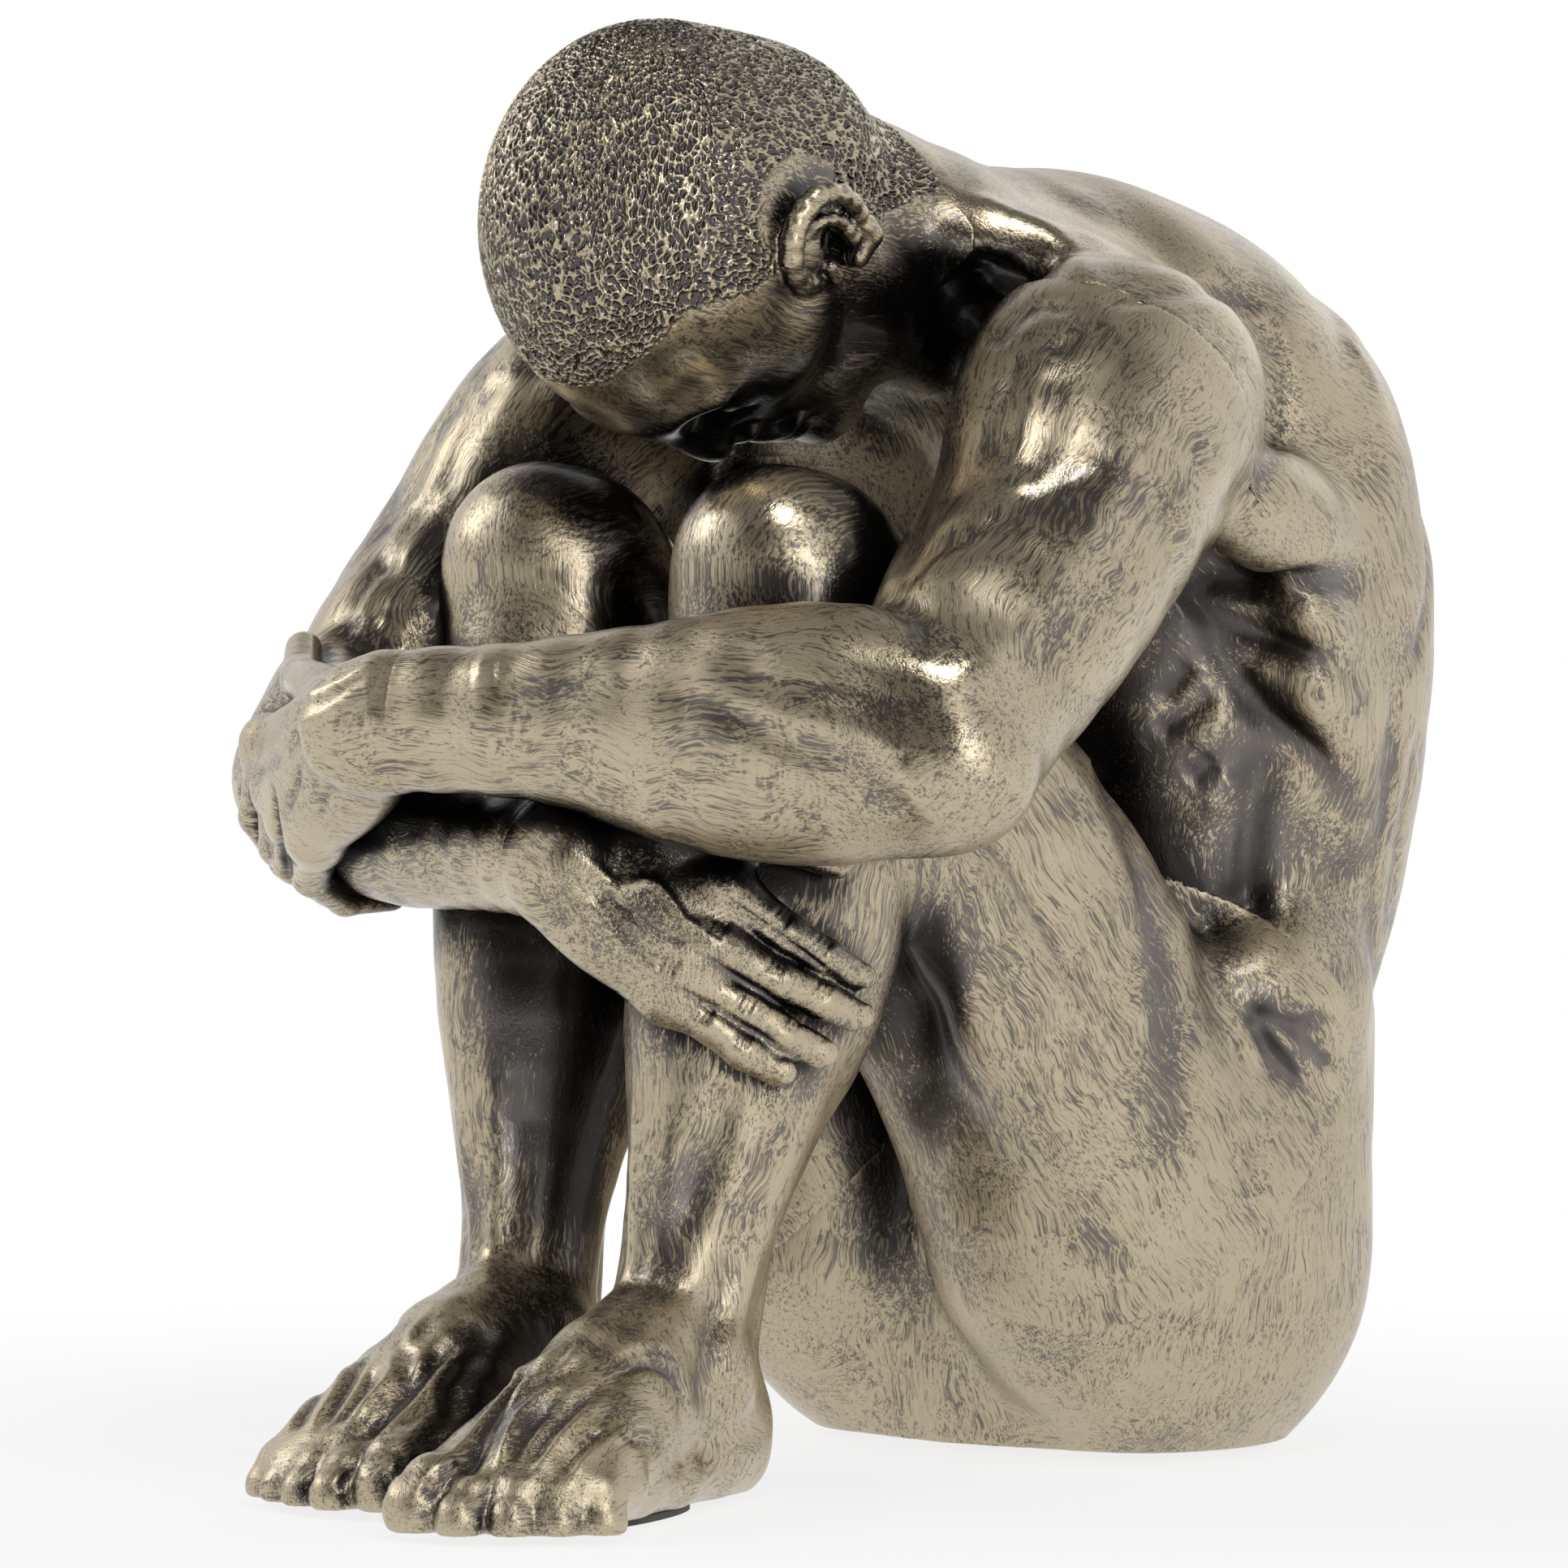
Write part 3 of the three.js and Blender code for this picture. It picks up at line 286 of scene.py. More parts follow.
def trunk_masses():
    put = [limb([(vec(0, y, z), w, h) for y, z, w, h in TRUNK], FORWARD, 1)]
    for _, s in SIDES:
        def at(x, y, z):
            return vec(s * x, y, z)
        put.append(muscle(at(27, 12, 2), at(27, 12, 54), 23, 22, FORWARD, 9))
        put.append(muscle(at(41, -8, 26), at(38, 2, 66), 12, 18, FORWARD, 9))
        put.append(muscle(at(9, 40, 40), at(13, 53, 132), 8, 6, FORWARD, 7))
        put.append(muscle(at(30, 40, 84), at(54, -2, 150), 17, 8, at(0.7, 0.7, 0), 7))
        put.append(muscle(at(26, 42, 146), at(56, -4, 146), 9, 8, at(0.7, 0.7, 0), 6))
        put.append(muscle(at(28, 34, 176), at(48, 20, 150), 14, 9, at(0.5, 0.8, 0.3), 6))
        put.append(muscle(at(8, -52, 198), at(46, -18, 180), 13, 8, UP, 8))
        put.append(muscle(at(4, -20, 158), at(48, -26, 162), 16, 13, FORWARD, 8))
        put.append(muscle(at(16, -72, 186), at(8, -36, 172), 6, 6, FORWARD, 5))
        put.append(muscle(at(44, 8, 60), at(46, 8, 86), 9, 15, FORWARD, 8))
        if s > 0:
            put.append(muscle(at(60, -30, 153), at(52, 2, 149), 10, 8, at(0.9, 0.4, 0), 9))
            put.append(muscle(at(40, -12, 73), at(50, 6, 72), 8, 7, at(0.9, 0.4, 0), 8))
    spine = [(0, 50, 34), (0, 54, 60), (0, 61, 98), (0, 64, 128), (0, 59, 156), (0, 41, 184)]
    put.append(groove(spine, 4.5, 6))
    return put


# Thigh and lower leg: fraction of the bone, half width, half depth, frontward shift
THIGH = [
    [0.0, 26, 30, -5],
    [0.13, 27, 33, -5],
    [0.28, 26, 28.5, -1],
    [0.48, 23.5, 24, 5],
    [0.7, 21, 21, 6],
    [0.9, 18.5, 18.5, 1],
    [1.0, 18, 17.5, 0],
]
SHIN = [
    [0.0, 18, 17.5, 0],
    [0.12, 17, 18.5, -2],
    [0.28, 18, 20.5, -4.5],
    [0.42, 18.5, 21, -5],
    [0.57, 16.5, 18.5, -4],
    [0.7, 13, 14.5, -3],
    [0.82, 10.5, 12, -1.5],
    [0.92, 10, 11, -1],
    [1.0, 11, 12, 0],
]
# Foot: mm ahead of the ankle, height, half width, half depth
FOOT = [
    [-12, 11, 10, 11],
    [-4, 14, 11, 14],
    [10, 19, 11.5, 14],
    [26, 14.5, 13, 11.5],
    [40, 9.5, 15.5, 8.5],
    [47, 7, 16, 6],
]
# Toes: outward mm of root and tip, mm ahead of the ankle of root and tip, radius
TOES = [
    [-10, -11.5, 44, 63, 5],
    [-3, -3.5, 46, 63.5, 3.8],
    [3, 3.5, 45, 60.5, 3.6],
    [8.5, 9.5, 43, 57, 3.5],
    [13, 14.5, 40, 53, 3.6],
]
THIGH_FRONT = vec(0, 0.81, 0.58)


def thigh_bone(S, s):
    return Bone(JOINT["hip"][S], JOINT["knee"][S], THIGH_FRONT, vec(s, 0, 0))


def shin_bone(S, s):
    return Bone(JOINT["knee"][S], JOINT["ankle"][S], FORWARD, vec(s, 0, 0))


def leg_masses(S, s):
    thigh, shin = thigh_bone(S, s), shin_bone(S, s)
    on, at = thigh.at, shin.at
    put = [limb([(on(0, f, t), w, h) for t, w, h, f in THIGH], THIGH_FRONT, 1)]
    put.append(muscle(on(11, 8, 0.12), on(9, 6, 0.9), 12, 17, thigh.f, 5))
    put.append(muscle(on(-9, 12, 0.45), on(-9, 6, 0.96), 10, 11, thigh.f, 5))
    put.append(muscle(on(2, 18, 0.1), on(0, 15, 0.86), 12, 10, thigh.f, 5))
    put.append(muscle(on(13, -18, 0.02), on(13, -10, 0.95), 9, 12, thigh.f, 5))
    put.append(muscle(on(-10, -16, 0.02), on(-12, -10, 0.95), 10, 11, thigh.f, 6))
    put.append(muscle(on(-14, 0, 0.0), on(-12, 2, 0.62), 12, 18, thigh.f, 6))
    put.append(limb([(at(0, f, t), w, h) for t, w, h, f in SHIN], shin.f, 3))
    put.append(muscle(at(8, -13, 0.04), at(6, -14, 0.64), 11, 11, shin.f, 5))
    put.append(muscle(at(-8, -13, 0.04), at(-6, -14, 0.68), 11, 11, shin.f, 5))
    put.append(muscle(at(6, 9, 0.08), at(0, 7, 0.8), 8, 7, shin.f, 5))
    put.append(muscle(at(13, -1, 0.12), at(9, -2, 0.85), 5, 8, shin.f, 5))
    cap = JOINT["knee"][S] + vec(0, -9, 8)
    put.append(muscle(cap + vec(0, 6, 8), cap + vec(0, -6, -9), 10, 8, vec(0, -0.7, 0.7), 6))
    put.append(muscle(at(0, 12, 0.02), at(0, 13, 0.2), 7, 5, shin.f, 5))
    return put + foot_masses(S, s)


def nail(knuckle, tip, outward, r):
    along = unit(tip - knuckle)
    middle = tip + outward * (r - 0.2) + along * r * 0.25
    reach = along * r * 0.62
    return muscle(middle - reach, middle + reach, r * 0.62, 0.55, outward, 0.12)


def foot_bone(S, s):
    flat = vec(1, 1, 0)
    return Bone(JOINT["ankle"][S] * flat, JOINT["toe"][S] * flat, UP, vec(s, 0, 0))


def on_foot(b, ahead, out, up):
    return b.start + b.u * ahead + b.o * out + UP * up


def foot_masses(S, s):
    b = foot_bone(S, s)
    a = JOINT["ankle"][S]
    put = [limb([(on_foot(b, x, 0, z), w, h) for x, z, w, h in FOOT], UP, 5)]
    sole = [
        (on_foot(b, -11, 0, 6), 9, 6),
        (on_foot(b, 14, 2, 5.5), 9.5, 5.5),
        (on_foot(b, 40, 0, 5), 14, 5),
    ]
    put.append(limb(sole, UP, 4))
    put.append(ball(a + vec(s * 8, 1, -1), 6, 4))
    put.append(ball(a + vec(-s * 8, -2, 2), 6, 4))
    put.append(muscle(shin_bone(S, s).at(0, -11, 0.72), on_foot(b, -15, 0, 10), 4, 5, UP, 5))
    put.append(muscle(on_foot(b, -2, -7, 8), on_foot(b, 50, -10, 8), 7, 7, UP, 5))
    for o0, o1, x0, x1, r in TOES:
        root = on_foot(b, x0, o0, r + 3.5)
        knuckle = on_foot(b, (x0 + x1) / 2 + 1, (o0 + o1) / 2, r + 2.6)
        tip = on_foot(b, x1 - r, o1, r - 0.6)
        put.append(digit([(root, r), (knuckle, r * 0.9), (tip, r)], 1.3))
        put.append(nail(knuckle, tip, unit(UP + b.u * 0.35), r))
    return put


# Arm: fraction of the bone, half width up and down, half depth, upward shift
UPPER_ARM = [
    [0.0, 21, 20, 0],
    [0.2, 21.5, 20.5, 0],
    [0.5, 19, 18.5, 0],
    [0.75, 17.5, 17, 0],
    [1.0, 15.5, 15, 0],
]
FOREARM = {
    "L": [
        [0.0, 15.5, 14.5, 1],
        [0.15, 18.5, 15.5, 2],
        [0.33, 17.5, 15, 2],
        [0.56, 13.5, 12, 1.5],
        [0.78, 10.5, 9.5, 1],
        [1.0, 9.6, 7.2, 0],
        [1.08, 7.6, 5.6, -2],
    ],
    "R": [
        [0.0, 13, 13, 2],
        [0.15, 15, 14.5, 2.5],
        [0.33, 16.2, 14.5, 1.2],
        [0.56, 12.8, 11.5, 0],
        [0.78, 9.8, 8.7, 0],
        [1.0, 8.4, 6.8, 1],
        [1.06, 7, 5.5, 1],
    ],
}


# Underside of the forearm: upward shift at the elbow, thickness
FLEXOR = {"L": (-9, 10), "R": (-7.5, 9.5)}


def arm_bones(S):
    flex = JOINT["wrist"][S] - JOINT["elbow"][S]
    upper = Bone(JOINT["shoulder"][S], JOINT["elbow"][S], flex, UP)
    fore = Bone(JOINT["elbow"][S], JOINT["wrist"][S], FORWARD, UP)
    return upper, fore


def arm_masses(S, s):
    upper, fore = arm_bones(S)
    on, at = upper.at, fore.at
    put = [limb([(on(o, 0, t), w, h) for t, w, h, o in UPPER_ARM], upper.f, 1)]
    acromion = JOINT["shoulder"][S] + vec(-s * 5, 2, 17)
    put.append(muscle(acromion, on(6, -4, 0.56), 21, 15, upper.o + vec(s, 0.3, 0.4), 7))
    put.append(muscle(on(2, -7, 0.08), on(0, -6, 0.92), 15, 13, upper.f, 5))
    put.append(muscle(on(2, 8, 0.2), on(1, 7, 0.98), 12, 12, upper.f, 5))
    put.append(muscle(on(11, 0, 0.4), on(9, 3, 1.0), 8, 9, upper.f, 4))
    put.append(limb([(at(o, 0, t), w, h) for t, w, h, o in FOREARM[S]], fore.f, 3))
    put.append(muscle(at(11, 4, -0.12), at(5, 1, 0.62), 9, 10, fore.f, 5))
    low, thick = FLEXOR[S]
    put.append(muscle(at(low, 3, 0.02), at(-5, 1, 0.66), thick, thick, fore.f, 5))
    put.append(ball(JOINT["elbow"][S] - upper.f * 7 + upper.u * 5, 8.5, 6))
    return put


# Head: x outward, n toward the face, v toward the crown
TILT = math.radians(5)
FACE = vec(0, -math.sin(TILT), -math.cos(TILT))
CROWN = vec(0, -math.cos(TILT), math.sin(TILT))


def in_head(x, n, v):
    return SKULL + vec(x, 0, 0) + FACE * n + CROWN * v


# Ear: its middle toward the face and the crown; then places from that, the distance from
# the head's middle, and the radius
EAR = (0.5, -4)
HELIX = [
    [5.5, -1, 23.6, 1.3],
    [6.4, 4, 24.8, 1.6],
    [3.2, 8.2, 26.4, 1.8],
    [-2.2, 9, 27.8, 1.8],
    [-6.4, 6, 28.8, 1.7],
    [-7.6, 0.4, 28.8, 1.5],
    [-5.6, -5, 27.8, 1.4],
]
LOBE = [[-5, -5, 27.6, 1.3], [-2.6, -8.8, 26.6, 2.1], [0.8, -8.4, 25.2, 1.7]]
ANTIHELIX = [
    [-0.4, 6.2, 26.2, 0.9],
    [-3.4, 2.8, 27, 1.1],
    [-3.8, -1.6, 27, 1.1],
    [-1.6, -5.2, 26.6, 1.2],
]
TRAGUS = [[4.4, -3.6, 25, 1.3], [3.2, -1.4, 25.8, 1.0]]


def ear_masses(s):
    def path(rows):
        return [(in_head(s * x, n + EAR[0], v + EAR[1]), r) for n, v, x, r in curve_through(rows, 2)]

    low, high = in_head(s * 24.2, EAR[0], -7), in_head(s * 26, EAR[0] - 2, 3.5)
    plate = muscle(low, high, 1.8, 5.6, FACE, 1.5)
    bowl = ball(in_head(s * 27, EAR[0] - 0.4, EAR[1] - 1.6), 3.4, 1.2, carve=True)
    return [plate, bowl] + [digit(path(rows), 0.9) for rows in (HELIX, LOBE, ANTIHELIX, TRAGUS)]


def head_masses():
    at = in_head
    put = [muscle(at(0, -2, -22), at(0, -3, 35), 25.5, 31, FACE, 1)]
    put.append(muscle(at(0, -16, -32), at(0, -14, 8), 21, 18, FACE, 8))
    put.append(muscle(at(0, 8, -38), at(0, 10, 22), 18, 18, FACE, 9))
    put.append(muscle(at(0, 16, -39), at(0, 12, -14), 13, 10, FACE, 7))
    put.append(muscle(at(-15, 25, 5), at(15, 25, 5), 4, 4, CROWN, 5))
    put.append(muscle(at(0, 25, 4), at(0, 31, -13), 3.6, 4, FACE, 4))
    put.append(muscle(at(0, -3, -58), at(0, -10, 4), 17, 17, FACE, 8))
    for _, s in SIDES:
        put.append(muscle(at(s * 12, 20, -8), at(s * 22, 6, -5), 5, 5, CROWN, 6))
        put.append(muscle(at(s * 14, 10, -34), at(s * 20, -2, -12), 6, 7, FACE, 7))
        put.append(ball(at(s * 10.5, 27.5, 0), 5, 4, carve=True))
        put.append(ball(at(s * 10.2, 21.5, -0.5), 4.6, 2))
        put.append(ball(at(s * 4, 27, -12), 2.5, 2))
        put += ear_masses(s)
    put.append(muscle(at(-8, 24.5, -20.5), at(8, 24.5, -20.5), 2.6, 4.2, FACE, 2))
    put.append(muscle(at(-7, 24, -24.5), at(7, 24, -24.5), 2.6, 4.2, FACE, 2))
    put.append(groove([at(-7, 28.6, -22.3), at(0, 29.4, -22.1), at(7, 28.6, -22.3)], 0.35, 0.8))
    put.append(ball(at(0, 21, -33), 6.5, 5))
    return put


# Hands
def seat(field, wanted):
    """Points lifted off a surface, each found by walking in to (axis point, direction, lift)."""
    base, direction, lift = (np.array(x, float) for x in zip(*wanted))
    p = base + direction * 45
    for _ in range(40):
        p = p - direction * ((probe(field, p) - lift) * 0.7)[:, None]
    return list(p)


RIGHT_FINGERS = {
    "index": [[31, 93.7], [56, 87], [74, 83.6], [92, 80.6]],
    "middle": [[29, 85.4], [56, 80], [76, 77], [97, 74.6]],
    "ring": [[20, 81], [45, 75.8], [62, 72], [81, 69.3]],
    "little": [[14, 78], [32, 73.6], [46, 69.7], [63, 66.7]],
}
FINGER_RADII = [3.9, 3.1, 2.9, 2.6]


def right_hand_masses(leg):
    shin = shin_bone("L", 1)

    def at_calf(angle, z, lift):
        t = (JOINT["knee"]["L"][2] - z) / (JOINT["knee"]["L"][2] - JOINT["ankle"]["L"][2])
        a = math.radians(angle)
        return shin.at(0, -3, t), vec(math.sin(a), -math.cos(a), 0), lift

    wrist = JOINT["wrist"]["R"]
    wanted = [at_calf(50, 101, 3.5), at_calf(72, 98, 3.2)]
    for path in RIGHT_FINGERS.values():
        wanted += [
            at_calf(angle, z, 4.5 if i == 0 else FINGER_RADII[i] + 0.2)
            for i, (angle, z) in enumerate(path)
        ]
    found = seat(leg, wanted)
    put, knuckles = [], {}
    for n, name in enumerate(RIGHT_FINGERS):
        joints = list(zip(found[2 + 4 * n : 6 + 4 * n], FINGER_RADII))
        put.append(nail(joints[2][0], joints[3][0], wanted[5 + 4 * n][1], FINGER_RADII[3]))
        knuckles[name] = joints[0][0]
        put.append(digit(joints, 1.2))
        put.append(digit([(mix(wrist, joints[0][0], 0.1), 6), (joints[0][0], 3.7)], 4))
    palm = mix(knuckles["middle"], knuckles["ring"], 0.5)
    low, high = mix(wrist, palm, -0.15), mix(wrist, palm, 1.1)
    put.append(muscle(low, high, 10.5, 6.5, palm - shin.at(0, 0, 0.5), 4))
    fore = arm_bones("R")[1]
    put.append(limb([(fore.at(o, 0, t), w, h) for t, w, h, o in FOREARM["R"][3:]], fore.f, 3))
    thumb = [
        (wrist + vec(2, 1, 4), 5.5), (wrist + vec(16, 9, 4), 4.5),
        (found[0], 3.6), (found[1], 3),
    ]
    put.append(digit(thumb, 3))
    return put


LEFT_FINGERS = {
    "index": [[-14, 0.19, 4.2], [26, 0.1, 3.4], [58, 0.08, 2.3], [84, 0.09, 1.6]],
    "middle": [[2, 0.27, 4.4], [38, 0.17, 3.5], [70, 0.15, 2.2], [97, 0.16, 1.5]],
    "ring": [[14, 0.34, 4.3], [44, 0.22, 3.2], [72, 0.19, 2], [98, 0.19, 1.3]],
    "little": [[20, 0.41, 4], [48, 0.29, 2.8], [74, 0.25, 1.8], [99, 0.25, 1.2]],
}


def left_hand_masses(arm):
    fore = arm_bones("R")[1]

    def at_arm(angle, t, lift):
        a = math.radians(angle)
        return fore.at(0, 0, t), fore.f * math.cos(a) - fore.o * math.sin(a), lift

    wrist = JOINT["wrist"]["L"]
    wanted = [at_arm(-46, 0.17, 2.8), at_arm(-60, 0.05, 2.4)]
    for path in LEFT_FINGERS.values():
        wanted += [at_arm(*joint) for joint in path]
    found = seat(arm, wanted)
    put, knuckles = [], {}
    for n, name in enumerate(LEFT_FINGERS):
        joints = list(zip(found[2 + 4 * n : 6 + 4 * n], FINGER_RADII))
        knuckles[name] = joints[0][0]
        put.append(digit(joints, 1.2))
        put.append(digit([(mix(wrist, joints[0][0], 0.1), 6.5), (joints[0][0], 3.9)], 4))
    palm = mix(knuckles["middle"], knuckles["ring"], 0.4)
    put.append(muscle(mix(wrist, palm, -0.15), mix(wrist, palm, 1.05), 12, 7, FORWARD, 4))
    own = arm_bones("L")[1]
    put.append(limb([(own.at(o, 0, t), w, h) for t, w, h, o in FOREARM["L"][3:]], own.f, 3))
    thumb = [
        (wrist + vec(-4, 1, 1.5), 5.5), (wrist + vec(-14, 5, 3), 4.4),
        (found[0], 3.4), (found[1], 2.9),
    ]
    put.append(digit(thumb, 3))
    return put


# Castings and the bonded joints between them
OWN = {"torso": shape(trunk_masses()), "head": shape(head_masses())}
for S, s in SIDES:
    OWN["leg_" + S] = shape(leg_masses(S, s))
    OWN["arm_" + S] = shape(arm_masses(S, s))
OWN["hand_R"] = shape(right_hand_masses(OWN["leg_L"]))
OWN["hand_L"] = shape(left_hand_masses(OWN["arm_R"]))


class Bond:
    """A bonded joint: a flat face through a centre, facing the outer casting, inside a ball."""

    def __init__(self, inner, outer, centre, normal, radius, blend, dowel, reach=8):
        self.inner, self.outer = inner, outer
        self.centre = np.asarray(centre, np.float32)
        self.normal = unit(normal).astype(np.float32)
        self.radius, self.blend, self.dowel, self.reach = radius, blend, dowel, reach

    def side(self, p):
        return (p - self.centre) @ self.normal

    def past(self, p):
        return np.sqrt(((p - self.centre) ** 2).sum(1)) - self.radius


GAP = 0.3
SLOP = 0.2
BASE = 1.3
PLUG_Y = 11
BONDS = {"neck": Bond("torso", "head", [0, -50, 193], [0, -1, 0], 28, 6, (5, 12))}
for S, s in SIDES:
    b = thigh_bone(S, s)
    side_name = {"L": "left", "R": "right"}[S]
    BONDS[side_name + "_hip"] = Bond(
        "torso", "leg_" + S, b.at(2, -2, 0.16), b.u + vec(s * 0.5, 0, 0), 46, 6, (5, 15), 18
    )
    b = arm_bones(S)[0]
    BONDS[side_name + "_shoulder"] = Bond(
        "torso", "arm_" + S, b.at(0, 0, 0.04), b.u, 33, 6, (4.5, 12)
    )
    b = arm_bones(S)[1]
    BONDS[side_name + "_wrist"] = Bond(
        "arm_" + S, "hand_" + S, b.at(0, 0, 0.97), b.u, 15, 3, (2.5, 7)
    )
LAP = 1.2
HOLLOW = [(14.5, 30), (19, 56), (23, 90), (24, 118), (19, 138), (10, 147), (2, 149)]


def skin_of(name):
    """Outer skin of a casting with its blends at the joints, before any cut."""
    own = OWN[name]
    inner = [b for b in BONDS.values() if b.inner == name]
    outer = [b for b in BONDS.values() if b.outer == name]

    def fn(p, lo, hi):
        d = own(p, lo, hi)
        for b in inner:
            side = b.side(p) - b.reach
            if side.min() < reach[0] + b.blend:
                d = smooth_min(d, np.maximum(OWN[b.outer](p, lo, hi), side), b.blend)
        for b in outer:
            past = b.past(p)
            if past.min() < reach[0] + b.blend:
                d = smooth_min(d, np.maximum(OWN[b.inner](p, lo, hi), past), b.blend)
        return d

    return fn


SKIN = {name: skin_of(name) for name in OWN}
# Castings that a casting gives way to where they lie against each other
YIELDS = {
    "leg_L": ["torso"],
    "leg_R": ["torso", "leg_L"],
    "head": ["torso", "leg_L", "leg_R"],
    "arm_R": ["torso", "leg_R", "leg_L", "head"],
    "hand_R": ["leg_L", "leg_R", "arm_R"],
    "arm_L": ["torso", "leg_L", "leg_R", "head", "arm_R", "hand_R"],
    "hand_L": ["arm_R", "arm_L", "leg_R", "leg_L", "hand_R"],
    "torso": [],
}
SUNK = 1.0


def cut_of(name):
    """What is cut off a casting: floor, joint faces, dowel holes, hollow, its neighbours' inside."""
    inner = [b for b in BONDS.values() if b.inner == name]
    outer = [b for b in BONDS.values() if b.outer == name]
    bonded = {b.inner for b in outer}

    def fn(p, lo, hi):
        d = BASE - p[:, 2]
        for b in inner:
            bowl = np.maximum(b.past(p) + LAP, LAP - b.side(p))
            d = np.maximum(d, -bowl)
        for b in outer:
            d = np.maximum(d, -b.side(p))
        for b in inner + outer:
            q = p - b.centre
            along = q @ b.normal
            across = np.sqrt(np.maximum((q * q).sum(1) - along * along, 0))
            hole = np.maximum(across - b.dowel[0] - SLOP, np.abs(along) - b.dowel[1] - GAP)
            d = np.maximum(d, -hole)
        for other in YIELDS[name]:
            if other in bonded:
                continue
            d = np.maximum(d, -(OWN[other](p, lo, hi) + SUNK))
        if name == "torso":
            across = np.hypot(p[:, 0], p[:, 1] - PLUG_Y)
            z = p[:, 2]
            room = np.interp(z, [h[1] for h in HOLLOW], [h[0] for h in HOLLOW]).astype(np.float32)
            mouth = np.maximum(across - 15.3, z - 6.6)
            bore = across - np.minimum(room, 13.5 + z * 0.1)
            hollow = np.minimum(mouth, np.maximum(bore, z - 149))
            d = np.maximum(d, -np.minimum(hollow, np.maximum(across - room, np.abs(z - 89) - 60)))
        return d

    return fn


# Surfaces
def spread(field, points):
    """The field at many points, cell by cell on all cores."""
    points = np.ascontiguousarray(points, np.float32)
    key = np.floor(points / 16).astype(np.int64) + 64
    code = (key[:, 0] * 128 + key[:, 1]) * 128 + key[:, 2]
    order = np.argsort(code, kind="stable")
    edges = np.nonzero(np.diff(code[order]))[0] + 1
    groups = np.split(order, edges)
    out = np.empty(len(points), np.float32)

    def work(g):
        p = points[g]
        out[g] = field(p, p.min(0), p.max(0))

    with ThreadPoolExecutor(4) as pool:
        list(pool.map(work, groups))
    return out


def sculpt(field, lo, hi, h):
    """Skin of a field inside a box as points and quads, found on ever finer lattices."""
    lo = np.floor(np.asarray(lo, float) / (h * 12)) * h * 12
    n = (np.ceil((np.asarray(hi, float) - lo) / (h * 12)) * 12).astype(int)
    value = np.full(n + 1, FAR, np.float32)
    step = 12
    ticks = [np.arange(0, m, step) for m in n]
    grid = np.stack(np.meshgrid(*ticks, indexing="ij"), -1).reshape(-1, 3)
    while True:
        mid = lo + (grid + step / 2) * h
        reach[0] = step * h * 0.9
        d = spread(field, mid)
        busy = np.abs(d) < step * h * 1.05
        calm = grid[~busy & (d < 0)]
        for i, j, k in calm:
            value[i : i + step + 1, j : j + step + 1, k : k + step + 1] = -FAR
        grid = grid[busy]
        if step == 3:
            break
        step //= 2
        shifts = np.array([[a, b, c] for a in (0, step) for b in (0, step) for c in (0, step)])
        grid = (grid[:, None] + shifts).reshape(-1, 3)
    shifts = np.array([[a, b, c] for a in range(4) for b in range(4) for c in range(4)])
    cells = (grid[:, None] + shifts).reshape(-1, 3)
    mark = np.zeros(n + 1, bool)
    mark[tuple(cells.T)] = True
    cells = np.argwhere(mark)
    reach[0] = 2.5
    value[tuple(cells.T)] = spread(field, lo + cells * h)
    for axis in range(3):
        for end in (0, -1):
            edge = [slice(None)] * 3
            edge[axis] = end
            value[tuple(edge)] = np.maximum(value[tuple(edge)], h)
    vdb = openvdb.FloatGrid(background=FAR)
    vdb.copyFromArray(np.clip(value, -3 * h, 3 * h))
    points, quads = vdb.convertToQuads(isovalue=0.0)
    return lo + points * h, quads


def main_body(points, quads):
    """Keeps the largest connected piece of a skin."""
    label = np.arange(len(points))
    edges = np.concatenate([quads[:, [i, (i + 1) % 4]] for i in range(4)])
    while True:
        low = np.minimum(label[edges[:, 0]], label[edges[:, 1]])
        new = label.copy()
        np.minimum.at(new, edges[:, 0], low)
        np.minimum.at(new, edges[:, 1], low)
        new = new[new]
        new = new[new]
        if np.array_equal(new, label):
            break
        label = new
    main = np.bincount(label).argmax()
    keep = label == main
    index = np.cumsum(keep) - 1
    return points[keep], index[quads[keep[quads[:, 0]]]]


def normals_of(points, quads):
    a, b, c, d = (points[quads[:, i]] for i in range(4))
    n = np.cross(c - a, d - b)
    out = np.zeros_like(points)
    for i in range(4):
        for axis in range(3):
            out[:, axis] += np.bincount(quads[:, i], n[:, axis], len(points))
    return out / (np.linalg.norm(out, axis=1, keepdims=True) + 1e-12)


def smoothed(values, quads, rounds):
    """Values averaged with their neighbours along the edges, again and again."""
    ends = np.concatenate([quads[:, [i, (i + 1) % 4]] for i in range(4)])
    n = len(values)
    count = np.bincount(ends[:, 0], minlength=n) + np.bincount(ends[:, 1], minlength=n)
    values = values.reshape(n, -1).astype(float)
    for _ in range(rounds):
        total = np.stack(
            [
                np.bincount(ends[:, 0], v[ends[:, 1]], n) + np.bincount(ends[:, 1], v[ends[:, 0]], n)
                for v in values.T
            ],
            1,
        )
        values = 0.5 * values + 0.5 * total / np.maximum(count, 1)[:, None]
    return values


